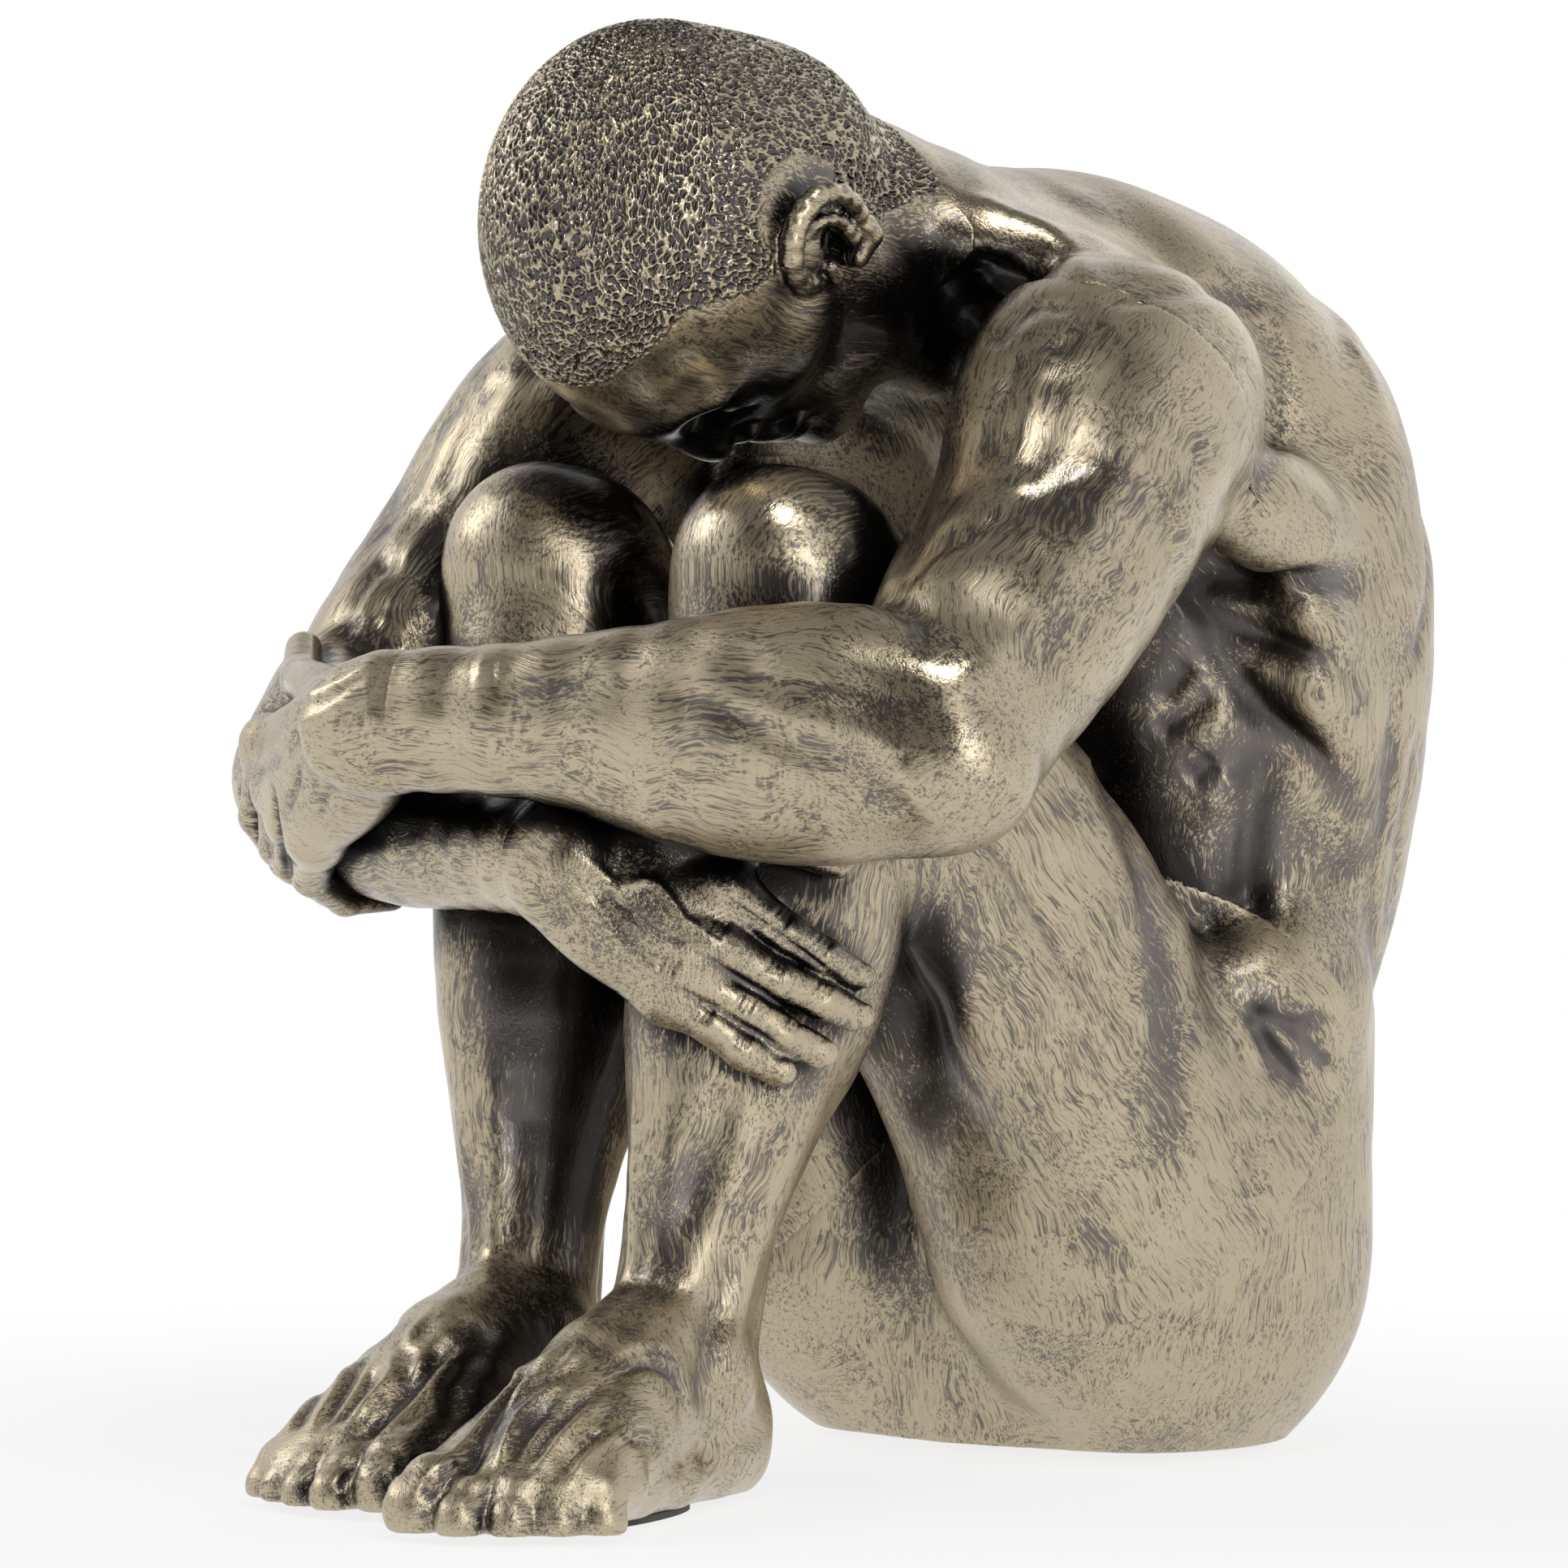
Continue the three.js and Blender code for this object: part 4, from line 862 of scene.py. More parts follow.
# The photograph's camera, in the figure's own millimetres
AZIMUTH = math.radians(42)
ELEVATION = math.radians(0.6)
DISTANCE = 1300
FOCAL_PX = 10283.6
PRINCIPAL = (929.53, 867.38)
IMAGE_PX = 1932
BACK = vec(
    math.sin(AZIMUTH) * math.cos(ELEVATION),
    -math.cos(AZIMUTH) * math.cos(ELEVATION),
    math.sin(ELEVATION),
)
RIGHT = vec(math.cos(AZIMUTH), math.sin(AZIMUTH), 0)
LIFT = np.cross(BACK, RIGHT)
EYE = vec(0, -70, 120) + BACK * DISTANCE


def all_forms(p, lo, hi):
    d = np.full(len(p), FAR, np.float32)
    for own in OWN.values():
        d = np.minimum(d, own(p, lo, hi))
    return d


def seen_at(pixels):
    """Points of the figure that the photograph's camera sees at these pixels."""
    px = np.asarray(pixels, float)
    across, down = ((px - PRINCIPAL) / FOCAL_PX).T[:, :, None]
    ray = -BACK + RIGHT * across - LIFT * down
    ray /= np.linalg.norm(ray, axis=1, keepdims=True)
    t = np.full(len(px), DISTANCE - 170.0)
    moving = np.arange(len(px))
    for _ in range(90):
        step = np.clip(probe(all_forms, EYE + ray[moving] * t[moving, None]), -5, 30) * 0.75
        t[moving] += step
        moving = moving[(np.abs(step) > 0.03) & (t[moving] < DISTANCE + 220)]
        if not len(moving):
            break
    return EYE + ray * t[:, None]


def onto(field, points, rounds=4):
    """Loose points moved onto the skin of a field."""
    for _ in range(rounds):
        d = probe(field, points)
        ahead = [probe(field, points + axis) for axis in np.eye(3) * 0.5]
        behind = [probe(field, points - axis) for axis in np.eye(3) * 0.5]
        slope = np.stack(ahead, 1) - np.stack(behind, 1)
        points = points - slope * (d / np.maximum((slope**2).sum(1), 0.05))[:, None]
    return points


LIMBS = {
    "upper": lambda S, s: arm_bones(S)[0],
    "fore": lambda S, s: arm_bones(S)[1],
    "thigh": thigh_bone,
    "shin": shin_bone,
    "foot": foot_bone,
}
# Grooves and ridges (depth below zero) seen in the photograph, in its pixels:
# castings and the bone that carries the same marks to the other side, then for each
# mark its depth, its half width and the pixels x, y along its line
SEEN = [
    ("torso arm_L", "upper", [
        (0.84, 2.5, 1345, 372, 1400, 366, 1440, 357, 1500, 360, 1530, 368, 1585, 368),
        (0.92, 2.8, 1520, 370, 1565, 420, 1582, 470, 1575, 530, 1545, 590, 1495, 630),
    ]),
    ("torso arm_L", "", [
        (0.42, 1.4, 1560, 380, 1575, 400, 1582, 430),
    ]),
    ("torso head", "x", [
        (-1.09, 3.2, 1180, 240, 1240, 262, 1290, 285, 1325, 330, 1345, 365),
    ]),
    ("torso", "x", [
        (3.5, 10.2, 1150, 330, 1200, 380, 1215, 440, 1190, 520),
    ]),
    ("arm_L torso", "upper", [
        (0.76, 2.3, 1330, 385, 1290, 375, 1265, 385, 1245, 400, 1225, 420, 1205, 435),
    ]),
    ("arm_L", "upper", [
        (0.5, 2.0, 1345, 385, 1335, 405, 1315, 425, 1303, 440),
    ]),
    ("arm_L torso", "upper", [
        (0.84, 2.8, 1255, 420, 1250, 450, 1240, 490, 1225, 540, 1210, 580),
    ]),
    ("arm_L", "upper", [
        (0.76, 3.2, 1300, 440, 1300, 480, 1295, 520, 1280, 560, 1255, 595),
        (1.0, 2.9, 1345, 560, 1320, 590, 1280, 610, 1240, 635, 1200, 655, 1150, 680),
        (0.76, 3.5, 1470, 560, 1420, 640, 1360, 730, 1290, 800, 1220, 870),
        (0.42, 2.3, 1400, 520, 1420, 580, 1440, 640, 1430, 700),
        (0.42, 2.0, 1190, 640, 1150, 680, 1110, 730),
    ]),
    ("torso", "x", [
        (1.6, 2.9, 1445, 720, 1500, 712, 1550, 715, 1650, 718, 1690, 724),
        (1.4, 2.6, 1450, 722, 1520, 770, 1590, 798, 1625, 815, 1670, 842),
        (1.7, 3.0, 1470, 745, 1515, 820, 1560, 880, 1620, 930, 1665, 985, 1695, 1000),
        (-0.76, 3.8, 1560, 752, 1620, 765, 1680, 780),
        (-0.76, 3.8, 1540, 810, 1590, 850, 1640, 900),
        (0.84, 2.0, 1468, 815, 1430, 870),
        (0.84, 2.0, 1500, 850, 1460, 880, 1420, 905),
        (0.84, 2.0, 1500, 935, 1460, 960),
        (-0.58, 2.3, 1515, 870, 1470, 925),
        (-0.58, 2.3, 1520, 950, 1490, 1005),
        (2.0, 4.9, 1560, 900, 1550, 1000, 1545, 1040, 1540, 1080, 1535, 1150),
        (-0.84, 3.2, 1590, 960, 1580, 1000, 1575, 1050, 1585, 1150),
        (-0.42, 1.3, 1525, 1010, 1515, 1060, 1520, 1110),
        (0.42, 1.3, 1505, 1150, 1545, 1155),
        (0.42, 1.3, 1520, 1190, 1540, 1200),
    ]),
    ("torso leg_L", "x", [
        (1.5, 2.2, 1535, 1235, 1550, 1250, 1600, 1262, 1640, 1256),
        (0.92, 1.7, 1580, 1270, 1605, 1280, 1625, 1300, 1645, 1320),
        (0.92, 1.7, 1550, 1265, 1570, 1290, 1590, 1320, 1605, 1345),
        (0.76, 1.7, 1545, 1260, 1560, 1290, 1575, 1340),
    ]),
    ("leg_L torso", "thigh", [
        (1.09, 4.3, 1330, 880, 1370, 980, 1410, 1080, 1428, 1180, 1440, 1300, 1450, 1460),
    ]),
    ("leg_L", "thigh", [
        (-0.76, 3.5, 1395, 960, 1420, 1030, 1445, 1100, 1460, 1160),
        (0.68, 1.6, 1205, 1010, 1255, 1085, 1285, 1130, 1315, 1190),
        (-0.5, 2.6, 1300, 1200, 1390, 1300, 1430, 1370),
        (1.09, 4.9, 1150, 1075, 1155, 1120, 1155, 1200, 1145, 1300, 1155, 1400),
        (0.42, 3.8, 1240, 1180, 1270, 1300, 1290, 1430, 1300, 1560),
    ]),
    ("arm_L", "fore", [
        (0.84, 2.9, 1150, 900, 1080, 865, 1040, 850, 980, 845, 940, 835, 870, 800),
        (0.76, 2.6, 1105, 945, 1050, 935, 1000, 925, 950, 905, 880, 870, 800, 850),
        (-0.84, 2.2, 1100, 940, 1120, 968, 1138, 998),
        (0.84, 3.3, 1060, 970, 1090, 985, 1110, 1005),
        (0.42, 2.3, 760, 840, 690, 850, 620, 860),
        (0.34, 2.2, 820, 960, 740, 930, 660, 915),
    ]),
    ("arm_L", "", [
        (1.09, 3.2, 1115, 745, 1140, 775, 1165, 800),
        (-0.5, 3.8, 585, 832, 618, 828),
    ]),
    ("arm_R", "", [
        (-1.0, 3.8, 665, 1008, 682, 1022),
        (0.26, 0.9, 500, 1010, 530, 1018, 565, 1025),
        (0.26, 0.9, 505, 1022, 535, 1030, 560, 1036),
        (1.09, 2.5, 412, 767, 440, 787, 470, 808),
        (0.58, 2.2, 540, 600, 495, 660, 452, 715, 428, 760),
        (0.5, 2.0, 560, 620, 520, 680, 490, 740, 470, 790),
        (0.34, 1.7, 510, 600, 460, 660, 425, 710),
    ]),
    ("leg_L", "shin", [
        (0.84, 2.8, 860, 1400, 845, 1480, 825, 1545, 812, 1590, 798, 1640),
        (0.5, 2.6, 1000, 1330, 960, 1400, 930, 1470, 905, 1540, 885, 1600, 875, 1660),
        (0.42, 2.2, 905, 1330, 880, 1400, 862, 1470, 850, 1540),
        (-0.76, 2.3, 930, 1540, 915, 1600, 900, 1660, 893, 1700),
        (0.84, 2.6, 892, 1590, 880, 1640, 868, 1690, 860, 1740),
        (0.92, 2.9, 806, 1470, 796, 1540, 775, 1610, 750, 1665),
        (-0.5, 2.0, 828, 1380, 822, 1460, 806, 1540, 790, 1600),
    ]),
    ("leg_L", "foot", [
        (0.9, 1.2, 752, 1712, 768, 1690, 795, 1680, 822, 1688, 838, 1712, 838, 1742),
        (0.4, 0.9, 745, 1690, 770, 1672, 805, 1664, 838, 1674),
        (0.5, 2.3, 750, 1730, 765, 1760, 800, 1775, 835, 1765),
        (-0.56, 1.9, 740, 1610, 700, 1660, 650, 1690, 600, 1720, 560, 1755, 520, 1800),
        (-0.8, 1.2, 735, 1640, 690, 1690, 650, 1708, 622, 1740, 590, 1780, 565, 1815),
        (-0.7, 1.1, 700, 1700, 665, 1722, 640, 1750, 620, 1790, 610, 1815),
        (-0.6, 1.1, 750, 1720, 720, 1745, 690, 1770, 668, 1800, 655, 1820),
        (-0.5, 1.1, 770, 1760, 740, 1780, 718, 1802, 706, 1825),
        (0.8, 1.2, 650, 1720, 615, 1750, 590, 1790, 585, 1815),
        (0.9, 1.2, 690, 1725, 660, 1750, 640, 1780, 630, 1810),
        (0.9, 1.2, 740, 1705, 705, 1735, 675, 1770, 650, 1810),
        (0.8, 1.2, 745, 1760, 722, 1778, 700, 1800, 688, 1820),
    ]),
    ("leg_R", "foot", [
        (-0.5, 1.9, 600, 1600, 550, 1642, 500, 1690, 450, 1732, 410, 1768),
        (-0.7, 1.2, 592, 1655, 560, 1675, 520, 1722, 490, 1755, 455, 1782),
    ]),
    ("leg_R", "", [
        (-0.58, 1.6, 565, 1640, 552, 1675, 535, 1705, 535, 1740, 500, 1775),
    ]),
    ("leg_R", "foot", [
        (0.9, 1.2, 560, 1660, 520, 1700, 480, 1745, 440, 1780),
    ]),
    ("leg_R", "", [
        (0.84, 2.3, 610, 1620, 585, 1665, 560, 1710, 550, 1745, 510, 1785),
    ]),
    ("leg_R", "shin", [
        (0.76, 2.6, 640, 1340, 640, 1420, 632, 1500, 620, 1570),
        (-0.5, 2.0, 600, 1300, 610, 1400, 606, 1500, 596, 1580),
    ]),
    ("hand_R", "", [
        (-0.45, 0.9, 755, 1092, 800, 1086, 822, 1104, 842, 1132, 868, 1150),
        (-0.45, 1.0, 700, 1050, 735, 1072, 765, 1105, 795, 1145, 845, 1172),
        (-0.4, 0.9, 690, 1080, 730, 1120, 780, 1180, 815, 1205),
        (0.5, 1.0, 745, 1095, 780, 1125, 810, 1150, 850, 1165),
        (0.5, 0.7, 880, 1098, 920, 1125, 970, 1160, 1030, 1205),
        (0.5, 0.7, 850, 1168, 900, 1200, 950, 1232, 1010, 1262),
        (0.5, 0.7, 820, 1212, 870, 1238, 920, 1268, 960, 1290),
    ]),
    ("hand_L", "", [
        (0.6, 1.2, 348, 930, 330, 942, 315, 952),
        (0.5, 1.0, 370, 900, 352, 928),
        (0.35, 0.8, 400, 912, 402, 945),
        (0.6, 0.9, 370, 945, 362, 975, 350, 1005),
        (0.45, 0.9, 412, 962, 400, 985, 395, 1010),
        (1.1, 0.9, 337, 972, 340, 1012, 347, 1050, 357, 1082),
        (-0.6, 1.2, 465, 818, 420, 846, 380, 862, 340, 882, 308, 905),
        (-0.45, 1.0, 450, 850, 410, 876, 370, 895, 340, 915),
        (-0.45, 1.0, 455, 885, 420, 910, 390, 935, 372, 962),
    ]),
    ("hand_L arm_L", "", [
        (0.3, 0.6, 440, 935, 455, 915, 462, 890),
    ]),
]
# Broad darkening, written the same way, with the amount as the first number: dark patina in the hollows
# of the flank and thigh, and painted shade on the neck, face, legs and feet where other parts close
# them in
PATINA_AND_SHADE_MARKS = [
    ("torso", "x", [
        (0.8, 8, 1445, 735, 1430, 800, 1440, 870),
        (0.7, 6, 1450, 725, 1500, 765, 1540, 810),
        (0.9, 4.5, 1550, 900, 1545, 1000, 1540, 1100, 1530, 1160),
        (0.5, 9, 1480, 880, 1480, 960, 1500, 1040, 1510, 1120),
        (0.4, 7, 1600, 1010, 1590, 1080, 1580, 1160),
    ]),
    ("torso leg_L", "x", [
        (0.6, 5, 1540, 1225, 1580, 1240),
    ]),
    ("torso", "x", [
        (0.8, 9, 1150, 330, 1200, 400, 1190, 500),
    ]),
    ("torso head", "x", [
        (0.6, 9, 1080, 260, 1120, 330, 1140, 420),
    ]),
    ("head", "x", [
        (0.45, 9, 1030, 400, 1040, 450),
    ]),
    ("arm_L", "upper", [
        (0.45, 5, 1420, 575, 1340, 620, 1270, 650),
        (0.4, 4.5, 1210, 810, 1260, 790, 1320, 770),
    ]),
    ("leg_L", "thigh", [
        (0.45, 4.5, 1390, 1050, 1430, 1200, 1440, 1350, 1445, 1450),
        (0.55, 8, 1140, 1080, 1145, 1200, 1140, 1350, 1150, 1450),
        (0.4, 4, 1330, 1450, 1360, 1530, 1390, 1600),
        (0.35, 5, 1230, 1080, 1240, 1180, 1270, 1260),
    ]),
    ("leg_L", "", [
        (0.7, 9, 1040, 1420, 1010, 1520, 990, 1620, 985, 1700),
    ]),
    ("leg_R", "", [
        (0.95, 8, 650, 1150, 655, 1250, 660, 1350, 665, 1450),
        (0.9, 6, 700, 1150, 710, 1300, 715, 1450, 720, 1550),
    ]),
    ("leg_R", "foot", [
        (0.6, 6, 640, 1620, 600, 1680, 560, 1740),
    ]),
    ("leg_L", "", [
        (0.5, 6, 700, 1680, 650, 1740, 600, 1790),
    ]),
    ("leg_L", "shin", [
        (0.4, 3.5, 850, 1330, 835, 1430, 815, 1540),
    ]),
    ("hand_R", "", [
        (0.4, 5, 760, 1130, 800, 1160),
    ]),
]


def marks_of(table):
    """The rows of a table one by one: castings, bone, two numbers and the pixels of the line."""
    for castings, bone, rows in table:
        for first, second, *line in rows:
            yield castings, bone, first, second, list(zip(line[::2], line[1::2]))


SEEN = [(*mark, None) for mark in marks_of(SEEN)]
SEEN += [(n, b, 0, w, line, a) for n, b, a, w, line in marks_of(PATINA_AND_SHADE_MARKS)]
# Skin creases across the finger joints: pixel of the joint, direction of the finger
CREASES = [
    (885, 1143, 0.86, 0.5),
    (825, 1188, 0.88, 0.47),
    (962, 1134, 0.85, 0.53),
    (1012, 1166, 0.85, 0.53),
    (958, 1190, 0.87, 0.49),
    (1014, 1220, 0.87, 0.49),
    (920, 1236, 0.88, 0.47),
    (978, 1260, 0.88, 0.47),
    (868, 1248, 0.87, 0.49),
    (918, 1278, 0.87, 0.49),
]
for x, y, dx, dy in CREASES:
    for along in (-8, 0, 7):
        ends = [(x + dx * along + dy * side, y + dy * along - dx * side) for side in (-14, 0, 13)]
        SEEN.append(("hand_R", "", 0.28, 0.42, ends, None))
# Marks of the back, both sides: depth, half width, line of outward and upward places
BEHIND = [
    (0.9, 2.6, [(16, 176), (18, 158), (23, 140), (32, 126)]),
    (-0.8, 2.4, [(16, 176), (32, 174), (48, 168)]),
    (0.7, 3.0, [(56, 128), (44, 104), (28, 82), (14, 64)]),
    (0.7, 2.4, [(17, 128), (18, 100), (16, 74), (12, 58)]),
    (0.35, 1.6, [(52, 118), (38, 110), (26, 108)]),
    (0.35, 1.6, [(50, 106), (38, 97), (26, 94)]),
    (0.6, 2.0, [(9, 54), (10, 50)]),
    (0.8, 2.4, [(0, 48), (0, 32), (0, 12)]),
]


def all_strokes():
    """Every mark as castings, depth, half width, a line of points on the figure and how dark it is."""
    lines = [curve_through(s[4], 9) for s in SEEN]
    found = seen_at(np.concatenate(lines))
    marks = []
    for (names, bone, depth, width, _, patina_and_shade), line in zip(SEEN, lines):
        points, found = found[: len(line)], found[len(line) :]
        names = names.split()
        if patina_and_shade is None:
            share = 0.7 if names[0] == "torso" and bone == "x" else 0.35
            patina_and_shade = max(0, min(0.85, share * depth)) if depth < 3 else 0
        marks.append((names, depth, width, points, patina_and_shade))
        if not bone:
            continue
        S, s = ("R", -1) if names[0].endswith("R") else ("L", 1)
        other = {"L": "R", "R": "L"}[S]
        twins = [n[:-1] + other if n[-2:] == "_" + S else n for n in names]
        if bone == "x":
            twin = points * vec(-1, 1, 1)
        else:
            here, there = LIMBS[bone](S, s), LIMBS[bone](other, -s)
            twin = np.array([there.at(*place) for place in here.local(points)])
        marks.append((twins, depth, width, twin, patina_and_shade))
    for depth, width, line in BEHIND:
        for s in (1, -1):
            loose = [vec(s * x, 22, z) for x, z in curve_through(line, 2)]
            marks.append((["torso"], depth, width, np.array(loose), max(0, min(0.8, 0.6 * depth))))
    flat = np.concatenate([m[3] for m in marks])
    flat = onto(all_forms, flat)
    hit = np.abs(probe(all_forms, flat)) < 0.6
    out = []
    for names, depth, width, points, patina_and_shade in marks:
        count = len(points)
        points, flat = flat[:count][hit[:count]], flat[count:]
        hit = hit[count:]
        if len(points) > 1:
            out.append((names, depth, width, points, patina_and_shade))
    return out


def pushed(points, strokes):
    """How far each point of a piece moves outward under its marks, and how dark they leave it."""
    push = np.zeros(len(points))
    dark = np.zeros(len(points))
    for _, depth, width, line, patina_and_shade in strokes:
        near = ((points > line.min(0) - 2.6 * width) & (points < line.max(0) + 2.6 * width)).all(1)
        near = np.nonzero(near)[0]
        if not len(near):
            continue
        p = points[near]
        best = np.full(len(near), 1e9)
        along = np.zeros(len(near))
        for i in range(len(line) - 1):
            span = line[i + 1] - line[i]
            q = p - line[i]
            u = np.clip(q @ span / (span @ span + 1e-9), 0, 1)
            d2 = ((q - u[:, None] * span) ** 2).sum(1)
            closer = d2 < best
            best[closer] = d2[closer]
            along[closer] = ((i + u) / (len(line) - 1))[closer]
        fade = np.clip(np.minimum(along, 1 - along) * 5, 0, 1)
        fade = np.exp(-best / width**2) * (0.25 + 0.75 * fade * fade * (3 - 2 * fade))
        push[near] -= depth * fade
        dark[near] = 1 - (1 - dark[near]) * (1 - patina_and_shade * fade)
    return push, dark


def lattice_noise(p, seed):
    """Smooth noise from -1 to 1 over points given in cells."""
    cell = np.floor(p).astype(np.int64)
    f = p - cell
    f = f * f * (3 - 2 * f)
    total = np.zeros(len(p))
    for corner in np.ndindex(2, 2, 2):
        c = cell + corner
        h = (c[:, 0] * 73856093) ^ (c[:, 1] * 19349663) ^ (c[:, 2] * 83492791) ^ (seed * 2654435761)
        h = ((h ^ (h >> 13)) * 1274126177) & 0x7FFFFFFF
        value = ((h ^ (h >> 15)) & 0xFFFF) / 32767.5 - 1
        weight = np.prod(np.where(np.array(corner) == 1, f, 1 - f), axis=1)
        total += weight * value
    return total


def cells(p, seed):
    """Distance from the walls between scattered cells, for points given in cells."""
    home = np.floor(p).astype(np.int64)
    first = np.full(len(p), 9.0)
    second = np.full(len(p), 9.0)
    for step in np.ndindex(3, 3, 3):
        c = home + np.array(step) - 1
        h = (c[:, 0] * 73856093) ^ (c[:, 1] * 19349663) ^ (c[:, 2] * 83492791) ^ (seed * 2654435761)
        spot = []
        for turn in range(3):
            h = ((h ^ (h >> 13)) * 1274126177 + turn) & 0x7FFFFFFF
            spot.append(((h ^ (h >> 15)) & 0xFFFF) / 65535.0)
        d = np.linalg.norm(c + np.stack(spot, 1) - p, axis=1)
        second = np.minimum(second, np.maximum(first, d))
        first = np.minimum(first, d)
    return second - first


def strands_of(points):
    """Short curled strands of hair: 1 on a strand, 0 in the gap beside it."""
    q = points - SKULL
    n, v, x = q @ FACE, q @ CROWN, q[:, 0]
    wave = np.stack([lattice_noise(points / 2.6, seed) for seed in (11, 12, 13)], 1)
    q = np.stack([x, n, v], 1) + 0.9 * wave
    top = np.clip((v - 8 - 0.25 * np.abs(x)) / 8, 0, 1)
    along_side = cells(q / vec(0.95, 0.85, 2.1), 3)
    along_top = cells(q / vec(0.85, 2.1, 0.95), 4)
    wall = along_side * (1 - top) + along_top * top
    return np.clip(1 - wall / 0.34, 0, 1)


# Edge of the hair: place toward the crown, how far toward the face the hair reaches there
HAIRLINE = [
    (-40, -40),
    (-38, -13),
    (-25, -7),
    (-12, 1),
    (-3, 4),
    (4.9, 5.6),
    (8.9, 9.1),
    (15.5, 11.3),
    (19, 13.2),
    (20.5, 18),
    (21.5, 26),
    (22.5, 40),
]


def hair_of(points):
    """1 on the hair, 0 on the skin."""
    q = points - SKULL
    n, v, x = q @ FACE, q @ CROWN, np.abs(q[:, 0])
    edge = np.interp(v, [h[0] for h in HAIRLINE], [h[1] for h in HAIRLINE])
    edge = edge + 0.5 * lattice_noise(points / 1.4, 5)
    ear = ((n + 3) / 9.5) ** 2 + ((v + 3) / 13) ** 2
    return np.clip((edge - n) / 0.7, 0, 1) * np.where(x > 22.5, np.clip((ear - 1) * 4, 0, 1), 1)


def grain(key, points):
    """Places across and along the limb, for marks that follow it."""
    S = key[-1]
    s = 1 if S == "L" else -1
    if key == "torso":
        loin, chest, nape = vec(0, 8, 16), vec(0, 16, 128), vec(0, -48, 193)
        bones = [Bone(a, b, FORWARD, vec(1, 0, 0)) for a, b in ((loin, chest), (chest, nape))]
    elif key == "head":
        bones = [Bone(SKULL, SKULL + CROWN * 30, FACE, vec(1, 0, 0))]
    elif key[:3] == "leg":
        bones = [thigh_bone(S, s), shin_bone(S, s), foot_bone(S, s)]
    else:
        bones = list(arm_bones(S))
    coords, weights, run = [], [], 0.0
    for b in bones:
        q = points - b.start
        length = np.linalg.norm(b.span)
        u = q @ b.u
        away = np.sqrt(((q - np.clip(u, 0, length)[:, None] * b.u) ** 2).sum(1))
        coords.append(np.stack([q @ b.o, q @ b.f, u + run], 1))
        weights.append(np.exp(-away / 2.5))
        run += length
    total = sum(weights)
    return sum(c * (w / total)[:, None] for c, w in zip(coords, weights))


# Pieces: casting, name of the piece, node that it stands for, box, lattice step
LABEL = {
    "torso": "torso_casting",
    "head": "head_casting",
    "leg_L": "left_leg_casting",
    "leg_R": "right_leg_casting",
    "arm_L": "left_arm_casting",
    "arm_R": "right_arm_casting",
    "hand_L": "left_hand_casting",
    "hand_R": "right_hand_casting",
}
BOXES = {
    "torso": ((-84, -92, -2), (84, 78, 218), 0.9),
    "head": ((-34, -136, 150), (34, -30, 232), 0.28),
    "leg_L": ((-16, -186, -2), (66, 50, 166), 0.65),
    "leg_R": ((-66, -176, -2), (20, 50, 166), 0.65),
    "arm_L": ((-30, -170, 86), (100, -6, 200), 0.65),
    "arm_R": ((-100, -150, 80), (34, -6, 202), 0.65),
    "hand_L": ((-72, -164, 70), (16, -92, 140), 0.38),
    "hand_R": ((-10, -148, 54), (60, -84, 116), 0.35),
}
COARSER = 1.0
dowel_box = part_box("neck_dowel")
SHIFT = np.array((dowel_box[0] + dowel_box[1]) / 2) / MM
SHIFT = SHIFT - (BONDS["neck"].centre + BONDS["neck"].normal * GAP / 2)


def add_mesh(name, points, quads, normal, layers):
    mesh = bpy.data.meshes.new(name)
    n, m = len(points), len(quads)
    mesh.vertices.add(n)
    mesh.vertices.foreach_set("co", ((points + SHIFT) * MM).astype(np.float32).ravel())
    mesh.loops.add(4 * m)
    mesh.loops.foreach_set("vertex_index", quads.astype(np.int32).ravel())
    mesh.polygons.add(m)
    mesh.polygons.foreach_set("loop_start", np.arange(0, 4 * m, 4, dtype=np.int32))
    mesh.polygons.foreach_set("loop_total", np.full(m, 4, np.int32))
    mesh.update(calc_edges=True)
    mesh.validate()
    mesh.shade_smooth()
    mesh.normals_split_custom_set_from_vertices(normal.tolist())
    for key, data in layers.items():
        kind = "FLOAT" if data.ndim == 1 else "FLOAT_VECTOR"
        layer = mesh.attributes.new(key, kind, "POINT")
        layer.data.foreach_set("value" if data.ndim == 1 else "vector", data.astype(np.float32).ravel())
    piece = bpy.data.objects.new(name, mesh)
    bpy.context.scene.collection.objects.link(piece)
    return piece


